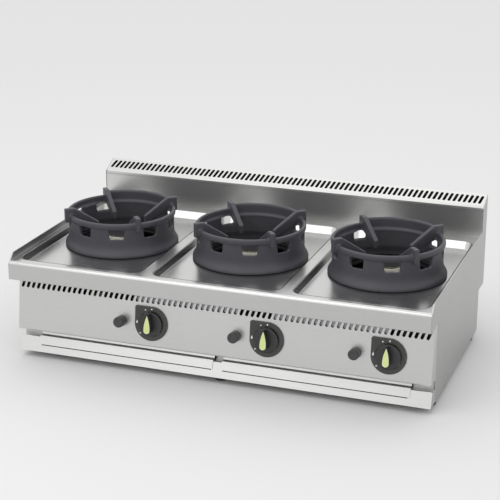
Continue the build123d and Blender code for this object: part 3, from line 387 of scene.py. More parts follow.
@dataclass
class Finishes:
    """Every finish of the range, built once."""

    # Satin stainless sheet, worn smooth by wiping: the clearest reflections. Its grey is a little darker than
    # the front's as painted shade, and a disc in each well, under the ring, is painted dark as shade.
    deck: Material = made(RingShadeSteel("satin_stainless_deck", Grain.ALONG_X, "c4c4c3", roughness=0.24))
    # Brushed stainless sheet: paler than the front sheets as painted light, and even on its front face;
    # painted dark as shade on its face inside the flue.
    splash: Material = made(
        FlueShadeSteel(
            "brushed_stainless_splash",
            Grain.ALONG_X,
            "d6d6d4",
            roughness=0.3,
            inner_from_mm=643.4,
            inner_to_mm=644.0,
        )
    )
    # The same sheet behind the flue, painted dark as shade on the side that faces forward, inside the flue.
    flue_rear: Material = made(
        FlueShadeSteel("brushed_stainless_flue_rear", Grain.ALONG_X, inner_from_mm=699.6, inner_to_mm=699.0)
    )
    # Brushed stainless sheet that lies nearly flat: paler than the front sheets as painted light, a light
    # grey between the dark slots.
    flue: Material = made(BrushedSteel("brushed_stainless_flue", Grain.ALONG_X, "d0d0ce"))
    # Brushed from front to back; its duller, darker grey than the front's is painted shade.
    side: Material = made(BrushedSteel("brushed_stainless_side", Grain.ALONG_Y, "b0b0af"))
    # Brushed along the range: soft, wide, even reflections, on the front sheets and the trays alike.
    front: Material = made(BrushedSteel("brushed_stainless_front", Grain.ALONG_X))
    tray: Material = made(BrushedSteel("brushed_stainless_tray", Grain.ALONG_X))
    # Matt enamel on cast iron: near black, with a broad sheen on every rounded edge.
    iron: Material = made(EnamelledIron("matt_enamelled_cast_iron"))
    # Machined casting with a pale coating, chalky; its near-white is partly that coating and partly painted
    # light, so that it shows bright in the ring's windows.
    head: Material = made(SpeckledFinish("machined_cast_burner_head", "f8f6ec", "efecdf", bump=0.1))
    # Pressed steel, burnt: dull black, with a painted highlight on its lower rim.
    cap: Material = made(
        BlackenedCap("heat_blackened_steel_cap", "2c2a2e", "242326", metallic=1.0, roughness=0.6)
    )
    # Moulded phenolic: deep black with a satin highlight on the grip.
    knob: Material = made(
        SpeckledFinish("moulded_phenolic_knob", "29292a", "2d2d2e", roughness=0.36, bump=0.05)
    )
    # Moulded ABS with a fine texture: a shade lighter and duller than the knob on it.
    dial: Material = made(SpeckledFinish("moulded_abs_dial", "363634", "3a3a38", roughness=0.42, bump=0.06))
    # Moulded ABS, smoother: the button's soft rim catches a thin highlight.
    button: Material = made(
        SpeckledFinish("moulded_abs_button", "303030", "363636", roughness=0.35, bump=0.05)
    )
    # Moulded ABS inlay in pale green; its raised edge is the same ABS drawn lighter as a painted highlight.
    pointer: Material = made(
        SpeckledFinish("moulded_abs_pale_green", "c3d088", "cad692", roughness=0.35, bump=0.04)
    )
    pointer_edge_highlight: Material = made(
        SpeckledFinish("moulded_abs_edge_painted_highlight", "d4dca8", "dbe2b4", roughness=0.35, bump=0.04)
    )
    # Pad-printed ink: flat, matt and slightly off white.
    ink: Material = made(SpeckledFinish("printed_white_ink", "f0f0ec", "e6e6e0", roughness=0.5, bump=0.02))
    # Hot-dip galvanised sheet: grey crystals of about 9 mm, each with its own shade.
    galvanised: Material = made(
        SpeckledFinish("galvanised_sheet", "8e9091", "9a9c9d", metallic=1.0, roughness=0.42, spangle_mm=9.0)
    )
    # Zinc-plated tube: smoother and paler than the galvanised sheet.
    zinc: Material = made(
        SpeckledFinish("zinc_plated_pipe", "a7a8a6", "b8b8b4", metallic=1.0, roughness=0.36)
    )
    # Turned brass, a little tarnished: the only warm tone.
    brass: Material = made(SpeckledFinish("turned_brass", "a08550", "8f7644", metallic=1.0, roughness=0.28))
    # Turned steel bar: bright, with tight highlights.
    steel_bar: Material = made(
        SpeckledFinish("turned_steel", "b4b4b2", "a8a8a6", metallic=1.0, roughness=0.3)
    )
    # Steel that stands in the flame: brownish and uneven.
    pilot: Material = made(SpeckledFinish("heat_worn_pilot_steel", "9b958a", "82796c", metallic=1.0))
    # Moulded polyamide: black and matt.
    foot: Material = made(SpeckledFinish("moulded_black_polyamide", "1e1e1e", "242424", roughness=0.5))


# ------------------------------------------------------------------ modelling helpers


def place_in_frame(bm: BMesh) -> None:
    """Turn a mesh from the drawing's millimetres into the frame's metres."""
    matrix = Matrix.Translation((0, -HALF_DEPTH * MM, 0)) @ Matrix.Scale(MM, 4)
    bmesh.ops.transform(bm, matrix=matrix, verts=bm.verts)


@dataclass
class Piece:
    """How one finished mesh joins the model."""

    name: str
    finish: Material
    body: str
    slot: str
    replaces: tuple[str, ...] = ()
    smooth_deg: float = 32.0
    sheet_mm: float = 0.0
    is_solid: bool = True

    def make(self, bm: BMesh) -> None:
        """Merge, place and dress a mesh, and hang it on its body.

        Args:
            bm: the mesh in millimetres; it is freed.
        """
        bmesh.ops.remove_doubles(bm, verts=bm.verts, dist=0.002)
        if self.is_solid:
            bmesh.ops.recalc_face_normals(bm, faces=bm.faces)
        self.shade(bm)
        place_in_frame(bm)
        piece = loose_object(self.name, bm)
        piece.data.materials.append(self.finish)
        if self.sheet_mm:
            wall = piece.modifiers.new("sheet", "SOLIDIFY")
            wall.thickness = self.sheet_mm * MM
            wall.offset = -1
        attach(piece, self.body)
        if self.replaces:
            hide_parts(*self.replaces)
        LOG.info("made %s: %d faces", self.name, len(piece.data.polygons))

    def shade(self, bm: BMesh) -> None:
        """Smooth the bends, and keep flat fields and sheet edges crisp beside them.

        Args:
            bm: the mesh in millimetres.
        """
        sharp, slight = math.radians(self.smooth_deg), math.radians(FLAT_DEG)
        broad = {face for face in bm.faces if breadth(face) > FLAT_BREADTH}
        for face in bm.faces:
            face.smooth = True
        for edge in bm.edges:
            if edge.is_manifold:
                angle = edge.calc_face_angle(0.0)
                beside_flat = angle > slight and not broad.isdisjoint(edge.link_faces)
                edge.smooth = angle < sharp and not beside_flat
            else:
                edge.smooth = False


@dataclass
class SheetPiece(Piece):
    """A piece modelled as a sheet's outer face, which gets its wall on the inner side."""

    sheet_mm: float = SHEET
    is_solid: bool = False


def breadth(face: Face) -> float:
    """Area over longest edge: large on a flat field, small on a bend's strip."""
    return face.calc_area() / max(edge.calc_length() for edge in face.edges)


def loose_object(name: str, bm: BMesh) -> bpy.types.Object:
    """Put a mesh into the scene as an object.

    Args:
        name: the object's name.
        bm: the mesh; it is freed.

    Returns:
        The object.
    """
    mesh = bpy.data.meshes.new(name)
    bm.to_mesh(mesh)
    bm.free()
    item = bpy.data.objects.new(name, mesh)
    bpy.context.scene.collection.objects.link(item)
    return item


def bake_modifiers(item: bpy.types.Object) -> None:
    """Turn an object's modifiers into its mesh.

    Args:
        item: the object.
    """
    bpy.context.view_layer.update()
    graph = bpy.context.evaluated_depsgraph_get()
    mesh = bpy.data.meshes.new_from_object(item.evaluated_get(graph))
    item.modifiers.clear()
    item.data = mesh


def cut_away(base: bpy.types.Object, tool: bpy.types.Object) -> None:
    """Cut a tool out of a work piece and remove the tool.

    Args:
        base: the work piece, which keeps the result.
        tool: the solid to cut away.
    """
    modifier = base.modifiers.new("cut", "BOOLEAN")
    modifier.operation = "DIFFERENCE"
    modifier.solver = "EXACT"
    modifier.object = tool
    bake_modifiers(base)
    bpy.data.objects.remove(tool)


def picked(items: list, kind: type) -> list:
    """Keep the vertices, edges or faces of an operator's result."""
    return [item for item in items if isinstance(item, kind)]


def edges_of(verts: list[Vert]) -> list[Edge]:
    """List the edges that end at some vertices."""
    return list({edge for vert in verts for edge in vert.link_edges})


def everything(bm: BMesh) -> list:
    """List all that a mesh has."""
    return bm.verts[:] + bm.edges[:] + bm.faces[:]


def add_outline(bm: BMesh, points: list[Point], closed: bool) -> list[Edge]:
    """Add a chain of edges.

    Args:
        bm: the mesh.
        points: the corners in order.
        closed: whether the last corner joins the first.

    Returns:
        The edges.
    """
    verts = [bm.verts.new(point) for point in points]
    pairs = list(zip(verts, verts[1:]))
    if closed:
        pairs.append((verts[-1], verts[0]))
    return [bm.edges.new(pair) for pair in pairs]


def flat_outline(bm: BMesh, points: Loop, z: float = 0.0) -> list[Edge]:
    """Add a closed outline at one height and list its edges."""
    return add_outline(bm, [(x, y, z) for x, y in points], closed=True)


def rectangle(bm: BMesh, xs: tuple[float, float], ys: tuple[float, float], z: float = 0.0) -> list[Edge]:
    """Add a rectangle at one height and list its edges."""
    return flat_outline(bm, [(xs[0], ys[0]), (xs[1], ys[0]), (xs[1], ys[1]), (xs[0], ys[1])], z)


def prism(bm: BMesh, points: list[Point], run: Point) -> list[Face]:
    """Extrude a flat outline into a closed solid.

    Args:
        bm: the mesh.
        points: the outline's corners.
        run: the extrusion.

    Returns:
        All the new faces.
    """
    edges = add_outline(bm, points, closed=True)
    base = bmesh.ops.contextual_create(bm, geom=edges)["faces"]
    verts = picked(bmesh.ops.extrude_face_region(bm, geom=base)["geom"], Vert)
    bmesh.ops.translate(bm, verts=verts, vec=run)
    faces = set(base)
    for vert in verts:
        faces.update(vert.link_faces)
    bmesh.ops.recalc_face_normals(bm, faces=list(faces))
    return list(faces)


def box(bm: BMesh, low: Point, high: Point) -> None:
    """Add a box between two corners.

    Args:
        bm: the mesh.
        low: the lowest corner.
        high: the highest corner.
    """
    size = Vector(high) - Vector(low)
    middle = (Vector(high) + Vector(low)) / 2
    matrix = Matrix.Translation(middle) @ Matrix.Diagonal((*size, 1))
    bmesh.ops.create_cube(bm, size=1.0, matrix=matrix)


def soften(bm: BMesh, edges: list[Edge], radius: float, segments: int = 3) -> None:
    """Round edges over.

    Args:
        bm: the mesh.
        edges: the edges to round.
        radius: how far the rounding reaches along each face.
        segments: steps across the rounding.
    """
    bmesh.ops.bevel(
        bm,
        geom=edges,
        offset=radius,
        offset_type="OFFSET",
        affect="EDGES",
        segments=segments,
        profile=0.5,
        material=-1,
        clamp_overlap=True,
    )


def soften_rim(bm: BMesh, z: float, radius: float, segments: int = 3) -> None:
    """Round the outer edges of a flat top at one height."""
    rim = [edge for edge in edges_on(bm, z=z) if edge.calc_face_angle(0.0) > 1.0]
    soften(bm, rim, radius, segments)


def sharp_edges(bm: BMesh, degrees: float) -> list[Edge]:
    """List the edges where two faces meet at more than an angle."""
    limit = math.radians(degrees)
    return [edge for edge in bm.edges if edge.is_manifold and edge.calc_face_angle(0.0) > limit]


def edges_on(
    bm: BMesh, x: float | None = None, y: float | None = None, z: float | None = None
) -> list[Edge]:
    """List the edges whose two ends lie on the given coordinates.

    Args:
        bm: the mesh.
        x: the ends' X, if it matters.
        y: their Y, if it matters.
        z: their Z, if it matters.

    Returns:
        The edges.
    """
    wanted = [(axis, value) for axis, value in enumerate((x, y, z)) if value is not None]
    return [
        edge
        for edge in bm.edges
        if all(abs(vert.co[axis] - value) < 0.05 for vert in edge.verts for axis, value in wanted)
    ]


def extrude_edges(bm: BMesh, edges: list[Edge], run: Point) -> list[Edge]:
    """Grow a strip of faces from edges.

    Args:
        bm: the mesh.
        edges: where the strip starts.
        run: how far it grows.

    Returns:
        The strip's far edges.
    """
    grown = bmesh.ops.extrude_edge_only(bm, edges=edges)["geom"]
    verts = picked(grown, Vert)
    bmesh.ops.translate(bm, verts=verts, vec=run)
    kept = set(verts)
    return [edge for edge in picked(grown, Edge) if kept.issuperset(edge.verts)]


def extrude_to_depth(bm: BMesh, edges: list[Edge], depth: float) -> None:
    """Grow a strip from edges back to one depth, such as a panel's end return.

    Args:
        bm: the mesh.
        edges: where the strip starts.
        depth: the Y at which it ends.
    """
    for edge in extrude_edges(bm, edges, (0, 0, 0)):
        for vert in edge.verts:
            vert.co.y = depth


def swing(bm: BMesh, edges: list[Edge], centre: Point, axis: Point, degrees: float, steps: int) -> list[Edge]:
    """Sweep edges about an axis into a curved strip.

    Args:
        bm: the mesh.
        edges: where the strip starts.
        centre: a point of the axis.
        axis: its direction.
        degrees: how far the strip turns.
        steps: faces along the turn.

    Returns:
        The strip's far edges.
    """
    turned = bmesh.ops.spin(
        bm,
        geom=edges,
        cent=centre,
        axis=axis,
        dvec=(0, 0, 0),
        angle=math.radians(degrees),
        steps=steps,
        use_merge=False,
        use_duplicate=False,
    )
    return picked(turned["geom_last"], Edge)


def copy_around(bm: BMesh, count: int, angle: float) -> None:
    """Repeat a whole mesh about the upright axis.

    Args:
        bm: the mesh.
        count: how many of it there are in the end.
        angle: from the first to the last.
    """
    bmesh.ops.spin(
        bm,
        geom=everything(bm),
        cent=(0, 0, 0),
        axis=(0, 0, 1),
        dvec=(0, 0, 0),
        angle=angle,
        steps=count - 1,
        use_merge=False,
        use_duplicate=True,
    )


def wheel(
    bm: BMesh, section: Loop, steps: int, centre: tuple[float, float] = (0.0, 0.0), closed: bool = False
) -> None:
    """Spin a section of (radius, height) points about an upright axis.

    Args:
        bm: the mesh.
        section: the section's corners.
        steps: faces around.
        centre: X and Y of the axis.
        closed: whether the section's last corner joins its first.
    """
    edges = add_outline(bm, [(centre[0] + r, centre[1], z) for r, z in section], closed)
    verts = list({vert for edge in edges for vert in edge.verts})
    bmesh.ops.spin(
        bm,
        geom=verts + edges,
        cent=(*centre, 0),
        axis=(0, 0, 1),
        dvec=(0, 0, 0),
        angle=math.tau,
        steps=steps,
        use_merge=True,
        use_duplicate=False,
    )


def folded(bm: BMesh, points: list[Point], run: Point, bends: list[float], steps: int = 6) -> None:
    """Sweep a folded outline along a straight line and round its folds.

    Args:
        bm: the mesh.
        points: each fold and both ends of the outline.
        run: the sweep.
        bends: the outside radius at each inner corner of the outline.
        steps: faces across each bend.
    """
    edges = add_outline(bm, points, closed=False)
    extrude_edges(bm, edges, run)
    line = Vector(run).normalized()
    corners = [Vector(point) for point in points]
    for before, corner, after, radius in zip(corners, corners[1:], corners[2:], bends):
        reach = radius * math.tan((corner - before).angle(after - corner) / 2)
        fold = [
            edge
            for edge in bm.edges
            if all((vert.co - corner).cross(line).length < 0.01 for vert in edge.verts)
        ]
        soften(bm, fold, reach, steps)


def face_up(bm: BMesh, direction: Point) -> None:
    """Turn an open sheet so that its largest face looks in a direction.

    Args:
        bm: the mesh.
        direction: where that face has to look.
    """
    bmesh.ops.recalc_face_normals(bm, faces=bm.faces)
    largest = max(bm.faces, key=lambda face: face.calc_area())
    if largest.normal.dot(Vector(direction)) < 0:
        bmesh.ops.reverse_faces(bm, faces=bm.faces)


def slab(bm: BMesh, loops: list[Edge], thickness: float) -> None:
    """Fill flat loops, holes included, and thicken them upwards.

    Args:
        bm: the mesh.
        loops: the edges of all outlines, in one plane across Z.
        thickness: along Z.
    """
    base = picked(bmesh.ops.triangle_fill(bm, edges=loops, use_beauty=True)["geom"], Face)
    grown = bmesh.ops.extrude_face_region(bm, geom=base, use_keep_orig=True)["geom"]
    bmesh.ops.translate(bm, verts=picked(grown, Vert), vec=(0, 0, thickness))
    bmesh.ops.recalc_face_normals(bm, faces=bm.faces)


def circle(bm: BMesh, radius: float, place: Point, segments: int = 48) -> list[Edge]:
    """Add a flat circle across Z and list its edges."""
    matrix = Matrix.Translation(place)
    return edges_of(bmesh.ops.create_circle(bm, segments=segments, radius=radius, matrix=matrix)["verts"])


def arc(centre: tuple[float, float], radius: float, start_deg: float, end_deg: float, steps: int) -> Loop:
    """Points along a circular arc in a section.

    Args:
        centre: the arc's centre.
        radius: its radius.
        start_deg: the angle of its first point.
        end_deg: the angle of its last point.
        steps: spaces between points.

    Returns:
        The points.
    """
    angles = [math.radians(start_deg + (end_deg - start_deg) * k / steps) for k in range(steps + 1)]
    return [(centre[0] + radius * math.cos(a), centre[1] + radius * math.sin(a)) for a in angles]


def thread_crests(root: float, crest: float, low: float, pitch: float, turns: int) -> Loop:
    """Points of a thread's section: for every turn a root and a crest half a pitch above it."""
    starts = [low + number * pitch for number in range(turns)]
    return [point for start in starts for point in ((root, start), (crest, start + pitch / 2))]


def absorb(bm: BMesh, part: BMesh) -> None:
    """Add a copy of a part's mesh to another and free the part.

    Args:
        bm: the mesh that grows.
        part: the mesh that goes into it.
    """
    carrier = bpy.data.meshes.new("carrier")
    part.to_mesh(carrier)
    part.free()
    bm.from_mesh(carrier)
    bpy.data.meshes.remove(carrier)


@dataclass(frozen=True)
class SlotRow:
    """A row of slanted slots with round ends, in a sheet that lies in the XY plane."""

    count: int
    pitch: float
    length: float
    width: float
    slant_deg: float
    down: float

    def outlines(self, bm: BMesh) -> list[Edge]:
        """Add every slot's outline.

        Args:
            bm: the mesh.

        Returns:
            The edges of all outlines.
        """
        edges: list[Edge] = []
        turn = Matrix.Rotation(math.radians(180 / SLOT_SIDES), 4, "Z")
        slant = Matrix.Rotation(math.radians(-self.slant_deg), 4, "Z")
        first = -(self.count - 1) / 2 * self.pitch
        for number in range(self.count):
            new = bmesh.ops.create_circle(bm, segments=SLOT_SIDES, radius=self.width / 2, matrix=turn)
            for vert in new["verts"]:
                vert.co.y += math.copysign((self.length - self.width) / 2, vert.co.y)
            matrix = Matrix.Translation((first + number * self.pitch, -self.down, 0)) @ slant
            bmesh.ops.transform(bm, matrix=matrix, verts=new["verts"])
            edges += edges_of(new["verts"])
        return edges


# ------------------------------------------------------------------ sub-assemblies


@dataclass
class HobTop:
    """The pressed deck with three wells, its rolled front edge, fascia and side rims."""

    finishes: Finishes
    deck_z: float = 300.0
    fascia_return: float = 16.0
    fascia_bend: float = 2.0
    nose_radius: float = 10.0
    well_width: float = 365.0
    well_front: float = 28.0
    well_back: float = 600.0
    well_corner: float = 30.0
    well_depth: float = 20.0
    wall_deg: float = 78.0
    press_radius: float = 1.2
    press_steps: int = 3
    flat_beside_press: float = 2.0
    rear_wall_run: float = 0.5
    rear_wall_start: float = 45.0
    rear_wall_fade: float = 10.0
    hole_radius: float = 118.0
    hole_margin: float = 6.0
    # The lip's rings: how much wider than the hole each is, and how far below the well's floor.
    hole_lip: tuple[tuple[float, float], ...] = ((3.0, 0.0), (1.0, 1.0), (0.0, 3.0), (0.0, 8.0))
    rim_rise: float = 18.5
    rim_thick: float = 3.0
    rim_round: float = 0.9
    rim_cove: float = 0.8
    rim_sunk: float = 1.0
    rim_slant_run: float = 28.0
    rim_slant_drop: float = 7.0

    def build(self) -> None:
        """Make the deck and the two rims."""
        nodes = ("hob_top", "well_pan_1", "well_pan_2", "well_pan_3")
        SheetPiece("deck_top", self.finishes.deck, "casing", "steel_top", nodes).make(self.deck())
        for side, sense in SIDES:
            Piece(f"deck_rim_{side}", self.finishes.side, "casing", "steel_top").make(self.rim(sense))

    def wall_steps(self) -> list[tuple[float, float]]:
        """Work out a well's wall: a rounded edge, a straight slope and a rounded foot.

        Returns:
            How far each step goes in and down.
        """
        wall, radius = math.radians(self.wall_deg), self.press_radius
        angles = [wall * k / self.press_steps for k in range(self.press_steps + 1)]
        bend = [
            (radius * (math.sin(b) - math.sin(a)), radius * (math.cos(a) - math.cos(b)))
            for a, b in zip(angles, angles[1:])
        ]
        fall = self.well_depth - 2 * radius * (1 - math.cos(wall))
        return [*bend, (fall / math.tan(wall), fall), *reversed(bend)]

    def well(self, bm: BMesh, x: float) -> list[Edge]:
        """Press one well and open its burner hole.

        Args:
            bm: the mesh.
            x: the well's middle.

        Returns:
            The well's outline on the deck.
        """
        grow = self.press_radius * math.tan(math.radians(self.wall_deg) / 2) + self.flat_beside_press
        width = self.well_width + 2 * grow
        length = self.well_back - self.well_front + 2 * grow
        middle = Matrix.Translation((x, (self.well_front + self.well_back) / 2, self.deck_z))
        matrix = middle @ Matrix.Diagonal((width, length, 1, 1))
        verts = bmesh.ops.create_grid(bm, x_segments=1, y_segments=1, size=0.5, matrix=matrix)["verts"]
        corners = bmesh.ops.bevel(
            bm,
            geom=verts,
            offset=self.well_corner + grow,
            affect="VERTICES",
            segments=10,
            profile=0.5,
            material=-1,
        )["verts"]
        face = corners[0].link_faces[0]
        outline = list(face.edges)
        flat = (self.flat_beside_press, 0.0)
        for inward, down in [flat, *self.wall_steps(), flat]:
            bmesh.ops.inset_region(
                bm,
                faces=[face],
                thickness=inward,
                depth=-down,
                use_even_offset=True,
                use_boundary=True,
            )
        floor_edges = list(face.edges)
        bmesh.ops.delete(bm, geom=[face], context="FACES_ONLY")
        floor_z = self.deck_z - self.well_depth
        radius = self.hole_radius + self.hole_margin
        ring = circle(bm, radius, (x, BURNER_Y, floor_z), len(floor_edges))
        bmesh.ops.bridge_loops(bm, edges=floor_edges + ring)
        for widening, sink in self.hole_lip:
            ring = extrude_edges(bm, ring, (0, 0, 0))
            for vert in {vert for edge in ring for vert in edge.verts}:
                away = Vector((vert.co.x - x, vert.co.y - BURNER_Y)).normalized()
                away *= self.hole_radius + widening
                vert.co = (x + away.x, BURNER_Y + away.y, floor_z - sink)
        return outline

    def ease_rear_walls(self, bm: BMesh) -> None:
        """Lay the rear wall of every well further back, so that it catches the light from above.

        Args:
            bm: the mesh.
        """
        start = self.well_back - self.rear_wall_start
        for vert in bm.verts:
            share = min(1.0, max(0.0, (vert.co.y - start) / (self.rear_wall_start - self.rear_wall_fade)))
            vert.co.y -= (self.deck_z - vert.co.z) * self.rear_wall_run * share

    def deck(self) -> BMesh:
        """Build the deck, nose, fascia and return as one sheet.

        Returns:
            The mesh in millimetres.
        """
        bm = bmesh.new()
        reach = HALF_WIDTH - SHEET
        front_y, nose_z = self.nose_radius, self.deck_z - self.nose_radius
        holes = [edge for x in WELL_XS for edge in self.well(bm, x)]
        self.ease_rear_walls(bm)
        border = rectangle(bm, (-reach, reach), (front_y, SPLASH_Y), self.deck_z)
        bmesh.ops.triangle_fill(bm, edges=holes + border, use_beauty=True)
        edges = edges_on(bm, y=front_y, z=self.deck_z)
        edges = swing(bm, edges, (0, front_y, nose_z), (1, 0, 0), 90, 8)
        fold = extrude_edges(bm, edges, (0, 0, FASCIA_LOW - nose_z))
        extrude_edges(bm, fold, (0, self.fascia_return, 0))
        soften(bm, fold, self.fascia_bend, 4)
        face_up(bm, (0, -1, 1))
        return bm

    def rim(self, sense: float) -> BMesh:
        """Build one raised side rim with its skirt.

        Args:
            sense: -1 for the left, 1 for the right.

        Returns:
            The mesh in millimetres.
        """
        bm = bmesh.new()
        top, outer = self.deck_z + self.rim_rise, HALF_WIDTH
        inner = outer - self.rim_thick
        cove, round_off = self.rim_cove, self.rim_round
        section = [
            (outer, FASCIA_LOW),
            *arc((outer - round_off, top - round_off), round_off, 0, 90, 4),
            *arc((inner + round_off, top - round_off), round_off, 90, 180, 4),
            *arc((inner - cove, self.deck_z + cove), cove, 0, -90, 4),
            (inner - cove, self.deck_z - self.rim_sunk),
            (outer - SHEET, self.deck_z - self.rim_sunk),
            (outer - SHEET, FASCIA_LOW),
        ]
        prism(bm, [(sense * x, 0, z) for x, z in section], (0, SPLASH_Y - SHEET, 0))
        low_front = Vector((0, 0, self.deck_z - self.rim_slant_drop))
        along = Vector((0, self.rim_slant_run, top)) - low_front
        cut = bmesh.ops.bisect_plane(
            bm,
            geom=everything(bm),
            plane_co=low_front,
            plane_no=Vector((0, -along.z, along.y)),
            clear_outer=True,
        )["geom_cut"]
        bmesh.ops.contextual_create(bm, geom=picked(cut, Edge))
        return bm


@dataclass
class FlueBox:
    """The splashback's slotted, sloping flue cap; the flat sheets stay as the CAD has them."""

    finishes: Finishes
    lip_z: float = 391.0
    rear_y: float = 700.0
    rear_z: float = 418.0
    rear_gap: float = 0.9
    bend: float = 8.0
    tongue: float = 9.0
    half_length: float = 598.3
    slots: SlotRow = SlotRow(count=79, pitch=15.0, length=35.0, width=9.3, slant_deg=10.6, down=27.4)

    def build(self) -> None:
        """Make the slotted cap."""
        nodes = ("flue_grille",)
        SheetPiece("flue_cap", self.finishes.flue, "casing", "steel_casing", nodes).make(self.cap())

    def cap(self) -> BMesh:
        """Build the cap flat, fold its lip and tilt it into place.

        Returns:
            The mesh in millimetres.
        """
        slope = math.atan2(self.rear_z - self.lip_z, self.rear_y - SPLASH_Y)
        length = math.hypot(self.rear_z - self.lip_z, self.rear_y - SPLASH_Y)
        reach = self.half_length
        bm = bmesh.new()
        loops = self.slots.outlines(bm) + rectangle(bm, (-reach, reach), (-length, -self.rear_gap))
        bmesh.ops.triangle_fill(bm, edges=loops, use_beauty=True)
        matrix = Matrix.Translation((0, self.rear_y, self.rear_z)) @ Matrix.Rotation(slope, 4, "X")
        bmesh.ops.transform(bm, matrix=matrix, verts=bm.verts)
        lip = edges_on(bm, y=SPLASH_Y, z=self.lip_z)
        extrude_edges(bm, lip, (0, 0, -self.tongue))
        soften(bm, lip, self.bend * math.tan((math.pi / 2 - slope) / 2), 6)
        face_up(bm, (0, -1, 1))
        return bm


